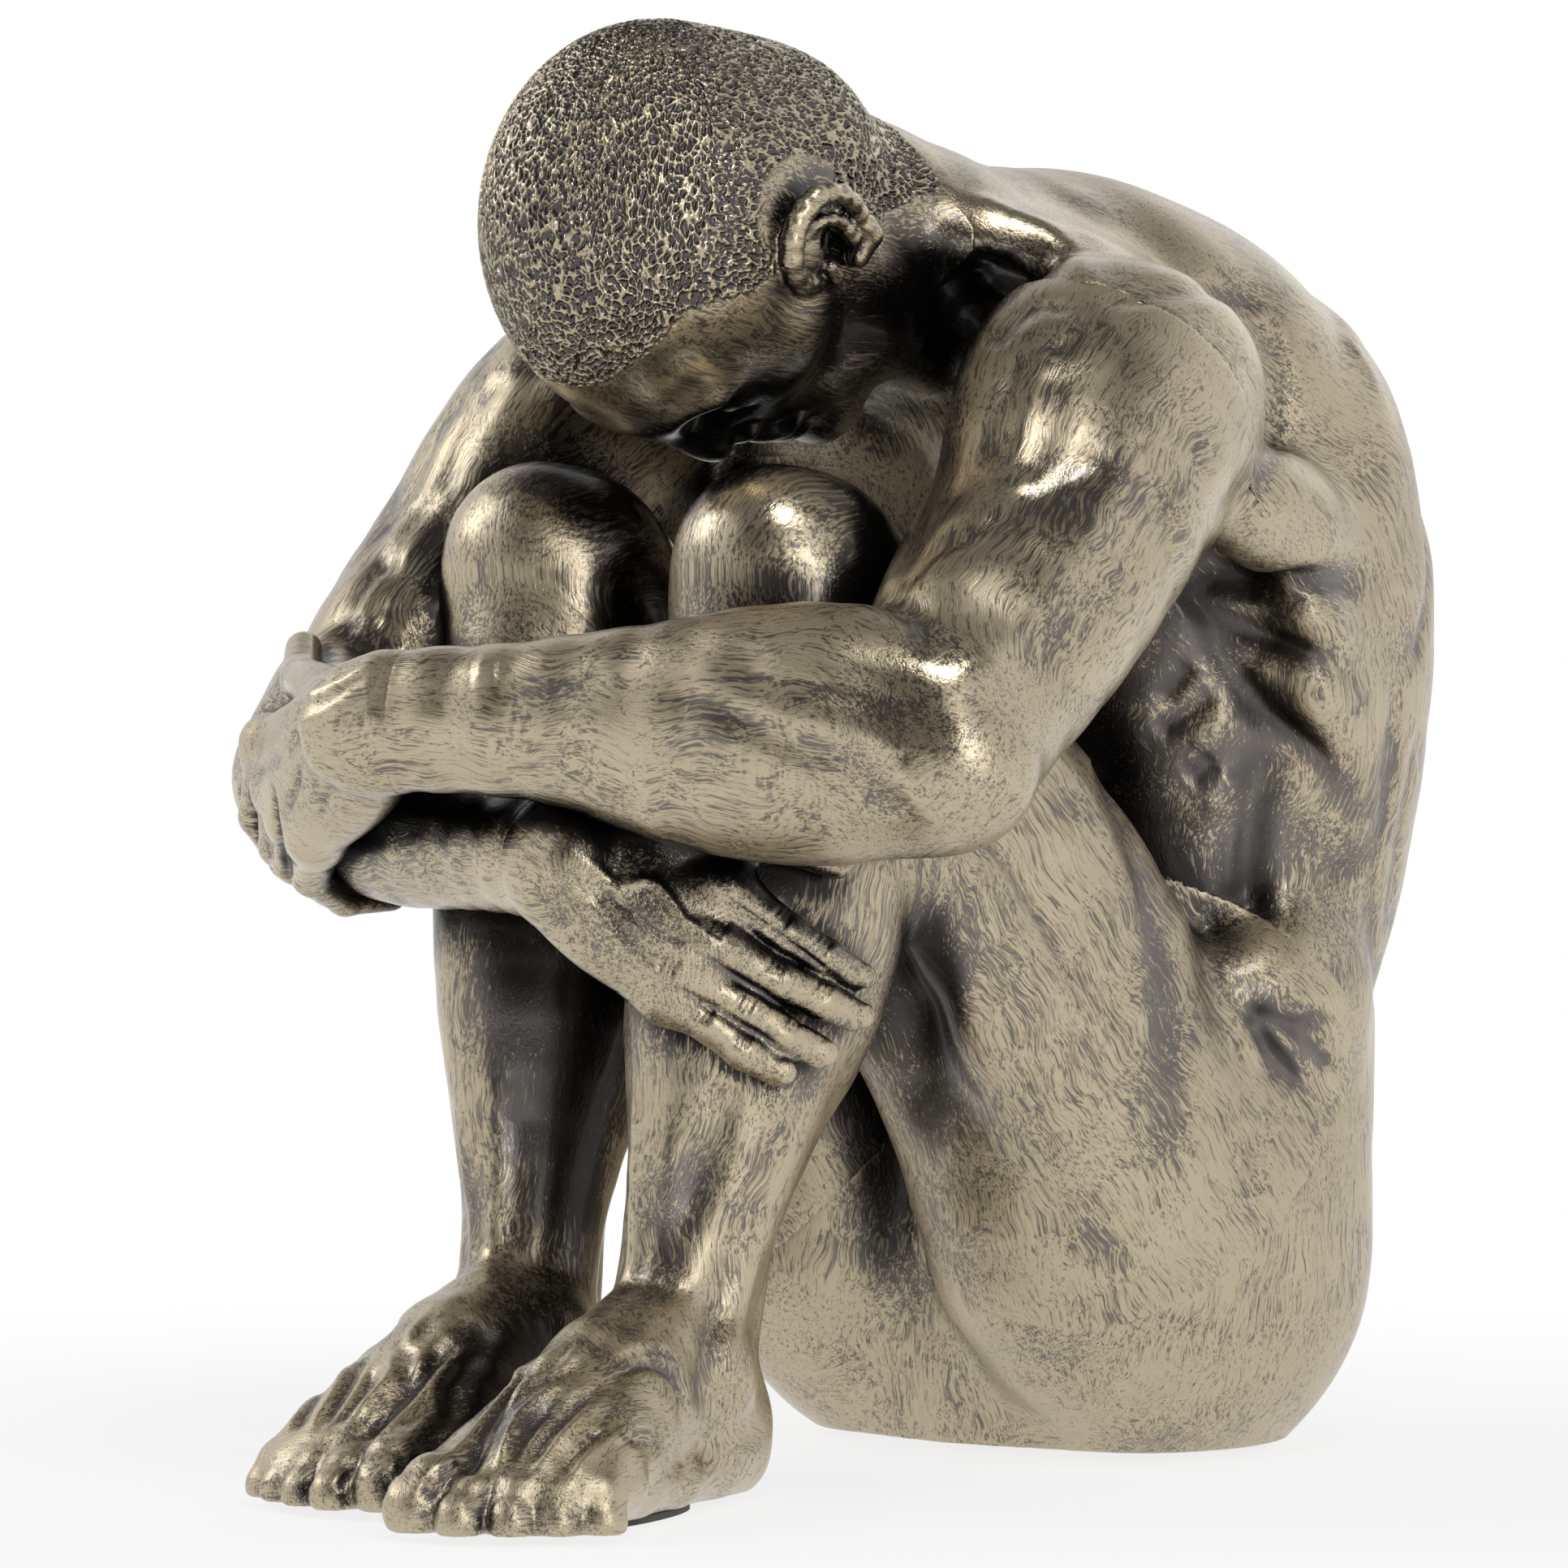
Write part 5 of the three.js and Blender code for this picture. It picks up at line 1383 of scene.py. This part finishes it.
class Graph:
    """A few short hands for building a node tree."""

    def __init__(self, tree):
        self.tree = tree

    def node(self, kind, **settings):
        made = self.tree.nodes.new(kind)
        for key, value in settings.items():
            if hasattr(made, key):
                setattr(made, key, value)
            else:
                self.put(made.inputs[key], value)
        return made

    def put(self, socket, value):
        if isinstance(value, bpy.types.NodeSocket):
            self.tree.links.new(value, socket)
        else:
            socket.default_value = value

    def math(self, operation, *values, clamp=False):
        made = self.tree.nodes.new("ShaderNodeMath")
        made.operation = operation
        made.use_clamp = clamp
        for socket, value in zip(made.inputs, values):
            self.put(socket, value)
        return made.outputs[0]

    def blend(self, factor, a, b, kind="RGBA"):
        made = self.tree.nodes.new("ShaderNodeMix")
        made.data_type = kind
        first = 6 if kind == "RGBA" else 2
        self.put(made.inputs[0], factor)
        self.put(made.inputs[first], a)
        self.put(made.inputs[first + 1], b)
        return made.outputs[2 if kind == "RGBA" else 0]

    def ramp(self, value, low, high):
        made = self.tree.nodes.new("ShaderNodeMapRange")
        made.interpolation_type = "SMOOTHSTEP"
        for key, item in (("Value", value), ("From Min", low), ("From Max", high)):
            self.put(made.inputs[key], item)
        return made.outputs[0]

    def ramp_to(self, value, low, high, first, last):
        made = self.tree.nodes.new("ShaderNodeMapRange")
        for socket, item in zip(made.inputs, (value, low, high, first, last)):
            self.put(socket, item)
        return made.outputs[0]

    def noise(self, vector, scale, detail=3.0, rough=0.5, distortion=0.0):
        made = self.tree.nodes.new("ShaderNodeTexNoise")
        for key, item in (
            ("Vector", vector),
            ("Scale", scale),
            ("Detail", detail),
            ("Roughness", rough),
            ("Distortion", distortion),
        ):
            self.put(made.inputs[key], item)
        return made.outputs[0]

    def scaled(self, vector, factors):
        return self.vector("MULTIPLY", vector, factors)

    def vector(self, operation, *values):
        made = self.tree.nodes.new("ShaderNodeVectorMath")
        made.operation = operation
        for socket, value in zip(made.inputs, values):
            self.put(socket, value)
        return made.outputs[0]

    def layer(self, name, vector=False):
        made = self.tree.nodes.new("ShaderNodeAttribute")
        made.attribute_name = name
        return made.outputs["Vector" if vector else "Fac"]


def new_material(name):
    material = bpy.data.materials.new(name)
    material.use_nodes = True
    tree = material.node_tree
    tree.nodes.clear()
    graph = Graph(tree)
    output = tree.nodes.new("ShaderNodeOutputMaterial")
    shader = tree.nodes.new("ShaderNodeBsdfPrincipled")
    tree.links.new(shader.outputs[0], output.inputs[0])
    return material, graph, shader


GOLD = (0.55, 0.465, 0.325, 1)
OLIVE = (0.36, 0.3, 0.2, 1)
PATINA = (0.17, 0.152, 0.138, 1)
UMBER = (0.022, 0.019, 0.017, 1)


def bronze():
    """Antique bronze: satin gold rubbed along the forms, dark patina left in brush marks and hollows,
    and painted shade where parts lie close in front of each other.
    """
    material, g, shader = new_material("antique_bronze")
    brush = g.layer("brush", vector=True)
    relief = g.layer("relief")
    nook = g.layer("nook")
    hair = g.layer("hair")
    curl = g.layer("curl")
    drift = g.tree.nodes.new("ShaderNodeTexNoise")
    g.put(drift.inputs["Vector"], brush)
    drift.inputs["Scale"].default_value = 0.06
    drift.inputs["Detail"].default_value = 2
    bent = g.vector("MULTIPLY_ADD", drift.outputs["Color"], (9, 9, 0), brush)
    deep = g.layer("deep")
    patina_and_shade = g.layer("patina_and_shade")
    long_marks = g.noise(g.scaled(bent, (1.3, 1.3, 0.05)), 1.0, 3, 0.65, 0.1)
    fine_marks = g.noise(g.scaled(bent, (3.8, 3.8, 0.15)), 1.0, 2, 0.6, 0.1)
    cross_marks = g.noise(g.scaled(bent, (0.25, 3.0, 0.9)), 1.0, 3, 0.6, 0.3)
    patches = g.noise(brush, 0.07, 3, 0.55)
    specks = g.noise(brush, 3.4, 3, 0.7)
    zone = g.noise(g.scaled(brush, (0.09, 0.09, 0.05)), 1.0, 2, 0.5, 0.6)
    marks = g.blend(g.ramp(zone, 0.52, 0.64), long_marks, cross_marks, "FLOAT")
    rubbed = g.math("MULTIPLY_ADD", fine_marks, 0.5, g.math("MULTIPLY", marks, 0.5))
    rubbed = g.math("MULTIPLY_ADD", g.math("SUBTRACT", patches, 0.5), 0.3, rubbed)
    rubbed = g.math("MULTIPLY_ADD", relief, 0.13, rubbed)
    # Less gold in creases (nook: patina with painted shade), where another part lies close in front
    # (deep: painted shade), and under the marks' patina and painted shade
    rubbed = g.math("MULTIPLY_ADD", nook, -0.16, rubbed)
    rubbed = g.math("MULTIPLY_ADD", deep, -0.12, rubbed)
    rubbed = g.math("MULTIPLY_ADD", patina_and_shade, -0.17, rubbed)
    gold = g.ramp(rubbed, 0.36, 0.55)
    gold = g.math("MULTIPLY", gold, g.ramp(specks, 0.28, 0.40))
    strands = g.math("MULTIPLY", g.ramp(curl, 0.45, 0.95), 0.85)
    gold = g.blend(hair, gold, strands, "FLOAT")
    # Dark patina in hollows and in the hair, deepened by painted shade in creases and where parts lie
    # close
    hollow = g.math(
        "MAXIMUM", g.math("MULTIPLY_ADD", deep, 1.1, nook), g.math("MULTIPLY", hair, 0.8)
    )
    hollow = g.math("MULTIPLY_ADD", patina_and_shade, 0.5, hollow)
    color = g.blend(g.ramp(hollow, 0.3, 1.2), PATINA, UMBER)
    color = g.blend(g.ramp(gold, 0.0, 0.5), color, OLIVE)
    color = g.blend(g.ramp(gold, 0.3, 1.0), color, GOLD)
    # Painted shade: where another part lies close in front, the colour goes almost to umber
    shade = g.math("MULTIPLY", g.ramp(deep, 0.3, 0.95), 0.88)
    color = g.blend(shade, color, UMBER)
    g.put(shader.inputs["Base Color"], color)
    shader.inputs["Metallic"].default_value = 0.85
    satin = g.blend(g.layer("shine"), 0.38, 0.21, "FLOAT")
    g.put(shader.inputs["Roughness"], g.math("MULTIPLY", satin, g.ramp_to(gold, 0.0, 1.0, 0.7, 1.0)))
    shader.inputs["Coat Weight"].default_value = 0.25
    shader.inputs["Coat Roughness"].default_value = 0.1
    bump = g.tree.nodes.new("ShaderNodeBump")
    g.put(bump.inputs["Strength"], g.blend(g.layer("shine"), 0.7, 0.3, "FLOAT"))
    bump.inputs["Distance"].default_value = 0.00016
    height = g.math("MULTIPLY_ADD", fine_marks, 0.5, marks)
    height = g.math("MULTIPLY_ADD", specks, 0.35, height)
    g.put(bump.inputs["Height"], g.blend(hair, height, g.math("MULTIPLY", curl, 0.8), "FLOAT"))
    g.put(shader.inputs["Normal"], bump.outputs[0])
    return material


BRONZE = bronze()


def form_piece(key):
    """The carved surface of one casting, with the normals that its outside shows."""
    lo, hi, h = BOXES[key]
    h *= COARSER
    skin, cut = SKIN[key], cut_of(key)
    points, quads = sculpt(lambda p, a, b: np.maximum(skin(p, a, b), cut(p, a, b)), lo, hi, h)
    points, quads = main_body(points, quads)
    normal = normals_of(points, quads)
    reach[0] = 2.5
    shown = spread(skin, points) > -0.5 * h
    lap = np.zeros(len(points))
    for b in BONDS.values():
        flat = points.astype(np.float32)
        if b.outer == key:
            shown &= (np.abs(b.past(flat)) > h) | (spread(OWN[b.inner], points) > -0.5 * h)
        if b.inner == key:
            lap = np.maximum(lap, np.clip(np.minimum(b.side(flat), -b.past(flat)) / 0.4, 0, 1))
    mine = [s for s in STROKES if key in s[0]]
    # The marks also leave their darkening: dark patina in grooves and hollows, and painted shade from
    # the broad marks
    push, patina_and_shade = pushed(points, mine)
    push = push * shown - 0.08 * lap
    hair = np.zeros(len(points))
    curl = np.zeros(len(points))
    if key == "head":
        hair = hair_of(points)
        curl = strands_of(points)
        push += hair * (0.48 * curl - 0.14)
    points = points + normal * push[:, None]
    whole = normals_of(points, quads)
    outer = normals_of(points, quads[shown[quads].all(1)])
    has = np.linalg.norm(outer, axis=1) > 0.5
    normal = np.where(has[:, None], outer, whole)
    soft = smoothed(points, quads, min(14, max(2, int(3 / h / h))))
    relief = np.einsum("ij,ij->i", points - soft, normal)
    layers = {
        "relief": np.clip(relief, -1, 1),
        "hair": hair,
        "curl": curl,
        "patina_and_shade": patina_and_shade,
        "brush": grain(key, points),
    }
    return points, quads, normal, layers


class Room:
    """How far each place round the figure is from the nearest surface, on a lattice."""

    def __init__(self, parts, cell, away):
        first, points, quads = 0, [], []
        for p, q, _, _ in parts:
            points.append(p)
            quads.append(q + first)
            first += len(p)
        points = np.concatenate(points)
        self.cell = cell
        self.low = points.min(0) - away - 2 * cell
        size = np.ceil((points.max(0) + away + 2 * cell - self.low) / cell).astype(int)
        grid = openvdb.FloatGrid.createLevelSetFromPolygons(
            ((points - self.low) / cell).astype(np.float32),
            quads=np.concatenate(quads).astype(np.uint32),
            halfWidth=away / cell,
        )
        self.values = np.zeros(tuple(size + 1), np.float32)
        grid.copyToArray(self.values)
        self.values *= cell

    def __call__(self, p):
        q = np.clip((p - self.low) / self.cell, 0, np.array(self.values.shape) - 1.001)
        at = q.astype(int)
        f = q - at
        total = np.zeros(len(p))
        for corner in np.ndindex(2, 2, 2):
            weight = np.prod(np.where(np.array(corner) == 1, f, 1 - f), axis=1)
            x, y, z = (at + corner).T
            total += weight * self.values[x, y, z]
        return total


def openness(room, points, normal, away):
    """0 in the open, 1 where another surface stands right in front."""
    return np.clip(1 - room(points + normal * away) / away, 0, 1)


def make_piece(key, formed, room):
    points, quads, normal, layers = formed
    # Painted shade from how closed in each place is: nook over creases, where it also stands for
    # patina, and deep where another part lies close in front
    layers["nook"] = 0.5 * openness(room, points, normal, 2.6) + 0.5 * openness(room, points, normal, 7)
    layers["deep"] = 0.5 * openness(room, points, normal, 14) + 0.5 * openness(room, points, normal, 27)
    front = np.clip((points - vec(0, -30, 0)) @ unit((0.35, -1, 0.1)) / 60, 0, 1)
    patch = np.clip(0.4 + 1.6 * lattice_noise(points / 15, 21), 0.1, 1)
    high_up = np.interp(points[:, 2], [55, 90], [0.35, 1])
    layers["shine"] = front * front * (3 - 2 * front) * patch * high_up
    piece = add_mesh(LABEL[key].replace("casting", "skin"), points, quads, normal, layers)
    piece.data.materials.append(BRONZE)
    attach(piece, "root")
    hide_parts(LABEL[key])


STROKES = all_strokes()
formed = {key: form_piece(key) for key in OWN}
room = Room(formed.values(), 1.5, 28)
for key in OWN:
    make_piece(key, formed[key], room)


def turned_steel():
    """Drawn steel pin: fine rings round it and a light grain along it."""
    material, g, shader = new_material("turned_steel")
    place = g.node("ShaderNodeTexCoord").outputs["Object"]
    rings = g.noise(g.scaled(place, (400, 400, 2600)), 1.0, 3, 0.6)
    grain_marks = g.noise(g.scaled(place, (5200, 5200, 500)), 1.0, 3, 0.6)
    marks = g.math("MULTIPLY", g.math("ADD", rings, grain_marks), 0.5)
    steel = g.blend(g.ramp(marks, 0.4, 0.6), (0.42, 0.42, 0.43, 1), (0.6, 0.6, 0.61, 1))
    g.put(shader.inputs["Base Color"], steel)
    shader.inputs["Metallic"].default_value = 1.0
    g.put(shader.inputs["Roughness"], g.blend(marks, 0.2, 0.45, "FLOAT"))
    add_bump(g, shader, marks, 0.3, 0.00005)
    return material


def cast_resin():
    """Filled resin of the plug: dull brown with pale grit and small pits."""
    material, g, shader = new_material("cast_resin")
    place = g.node("ShaderNodeTexCoord").outputs["Object"]
    clouds = g.noise(place, 160, 3, 0.5)
    grit = g.noise(place, 2400, 3, 0.7)
    color = g.blend(clouds, (0.13, 0.11, 0.085, 1), (0.2, 0.17, 0.13, 1))
    resin = g.blend(g.ramp(grit, 0.58, 0.7), color, (0.34, 0.31, 0.26, 1))
    g.put(shader.inputs["Base Color"], resin)
    g.put(shader.inputs["Roughness"], g.blend(grit, 0.5, 0.75, "FLOAT"))
    add_bump(g, shader, grit, 0.4, 0.0001)
    return material


def dark_felt():
    """Pressed felt: short matted fibres, lighter where they stand up."""
    material, g, shader = new_material("dark_felt")
    place = g.node("ShaderNodeTexCoord").outputs["Object"]
    fibres = g.noise(g.scaled(place, (5200, 1500, 3000)), 1.0, 4, 0.75, 1.5)
    mats = g.noise(place, 420, 3, 0.6, 0.8)
    color = g.blend(g.ramp(fibres, 0.35, 0.65), (0.018, 0.017, 0.016, 1), (0.075, 0.072, 0.068, 1))
    g.put(shader.inputs["Base Color"], g.blend(mats, color, (0.035, 0.033, 0.031, 1)))
    shader.inputs["Roughness"].default_value = 0.95
    shader.inputs["Sheen Weight"].default_value = 0.3
    shader.inputs["Sheen Roughness"].default_value = 0.6
    add_bump(g, shader, fibres, 0.6, 0.0002)
    return material


def add_bump(g, shader, height, strength, distance):
    bump = g.tree.nodes.new("ShaderNodeBump")
    bump.inputs["Strength"].default_value = strength
    bump.inputs["Distance"].default_value = distance
    g.put(bump.inputs["Height"], height)
    g.put(shader.inputs["Normal"], bump.outputs[0])


FINISHES = {"dowel": turned_steel(), "plug": cast_resin(), "pad": dark_felt()}
for name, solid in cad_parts.items():
    for ending, finish in FINISHES.items():
        if name.endswith(ending):
            for held in solid.material_slots:
                held.material = finish


# Camera
def to_row(p):
    return Vector((np.asarray(p) + SHIFT) * MM)


CENTRE_PX = IMAGE_PX / 2
aim = unit(
    -BACK
    + RIGHT * ((CENTRE_PX - PRINCIPAL[0]) / FOCAL_PX)
    - LIFT * ((CENTRE_PX - PRINCIPAL[1]) / FOCAL_PX)
)
across = unit(np.cross(aim, LIFT))
upward = np.cross(across, aim)
camera_data = bpy.data.cameras.new("camera")
camera_data.sensor_width = 36
camera_data.lens = FOCAL_PX / IMAGE_PX * 36
camera_data.clip_start = 0.01
camera_data.clip_end = 50
camera = bpy.data.objects.new("camera", camera_data)
turn = Matrix(np.stack([across, upward, -aim], 1).tolist()).to_4x4()
camera.matrix_world = Matrix.Translation(to_row(EYE)) @ turn
bpy.context.scene.collection.objects.link(camera)
bpy.context.scene.camera = camera


# Floor, backdrop and lights
bpy.ops.mesh.primitive_plane_add(size=40)
floor = bpy.context.object
floor.name = "floor"
floor_material, g, shader = new_material("pale_floor")
shader.inputs["Base Color"].default_value = (0.9, 0.9, 0.9, 1)
shader.inputs["Roughness"].default_value = 0.9
glow = g.node("ShaderNodeEmission")
glow.inputs["Strength"].default_value = 1.0
path = g.node("ShaderNodeLightPath")
place = g.node("ShaderNodeTexCoord").outputs["Object"]
measure = g.tree.nodes.new("ShaderNodeVectorMath")
measure.operation = "LENGTH"
g.put(measure.inputs[0], place)
faded = g.math("MULTIPLY_ADD", g.ramp(measure.outputs["Value"], 0.12, 0.36), 0.2, 0.8)
seen = g.math("MAXIMUM", path.outputs["Is Camera Ray"], path.outputs["Is Glossy Ray"])
seen = g.math("MAXIMUM", seen, path.outputs["Is Transmission Ray"])
mixed = g.node("ShaderNodeMixShader")
g.put(mixed.inputs[0], g.math("MULTIPLY", seen, faded))
g.put(mixed.inputs[1], shader.outputs[0])
g.put(mixed.inputs[2], glow.outputs[0])
g.put([n for n in g.tree.nodes if n.type == "OUTPUT_MATERIAL"][0].inputs[0], mixed.outputs[0])
floor.data.materials.append(floor_material)

# The room: white all round, with a dark doorway in front and a dim ceiling that the metal mirrors
DOORWAY = math.radians(21.5)
world = bpy.data.worlds.new("studio")
bpy.context.scene.world = world
world.use_nodes = True
world.node_tree.nodes.clear()
g = Graph(world.node_tree)
direction = g.node("ShaderNodeTexCoord").outputs["Generated"]
parts = g.node("ShaderNodeSeparateXYZ")
g.put(parts.inputs[0], direction)
level = g.math("SQRT", g.math("SUBTRACT", 1.0001, g.math("POWER", parts.outputs["Z"], 2)))
facing = g.math("MULTIPLY", parts.outputs["X"], math.sin(DOORWAY))
facing = g.math("MULTIPLY_ADD", parts.outputs["Y"], -math.cos(DOORWAY), facing)
door = g.ramp(g.math("DIVIDE", facing, level), 0.84, 0.9)
ceiling = g.ramp(parts.outputs["Z"], 0.6, 0.85)
room = g.blend(door, (0.8, 0.8, 0.81, 1), (0.1, 0.097, 0.094, 1))
room = g.blend(ceiling, room, (0.12, 0.118, 0.115, 1))
path = g.node("ShaderNodeLightPath")
seen = g.math("MAXIMUM", path.outputs["Is Camera Ray"], path.outputs["Is Transmission Ray"])
background = g.node("ShaderNodeBackground")
g.put(background.inputs[0], g.blend(seen, room, (1, 1, 1, 1)))
output = g.node("ShaderNodeOutputWorld")
g.put(output.inputs[0], background.outputs[0])


def softbox(name, azimuth, elevation, distance, width, height, power):
    a, e = math.radians(azimuth), math.radians(elevation)
    toward = Vector((math.sin(a) * math.cos(e), -math.cos(a) * math.cos(e), math.sin(e)))
    data = bpy.data.lights.new(name, "AREA")
    data.shape = "RECTANGLE"
    data.size, data.size_y = width, height
    data.energy = power
    lamp = bpy.data.objects.new(name, data)
    lamp.location = toward * distance + Vector((0, 0, 0.11))
    lamp.rotation_mode = "QUATERNION"
    lamp.rotation_quaternion = toward.to_track_quat("Z", "Y")
    bpy.context.scene.collection.objects.link(lamp)


softbox("strip", 66, 14, 1.0, 0.1, 0.5, 1.8)
softbox("key", 60, 58, 1.0, 0.25, 0.25, 2.2)
softbox("left", -60, 35, 1.1, 0.4, 0.6, 3.0)
softbox("rear", 190, 25, 1.2, 0.8, 0.6, 0.7)

view = bpy.context.scene.view_settings
view.view_transform = "Standard"
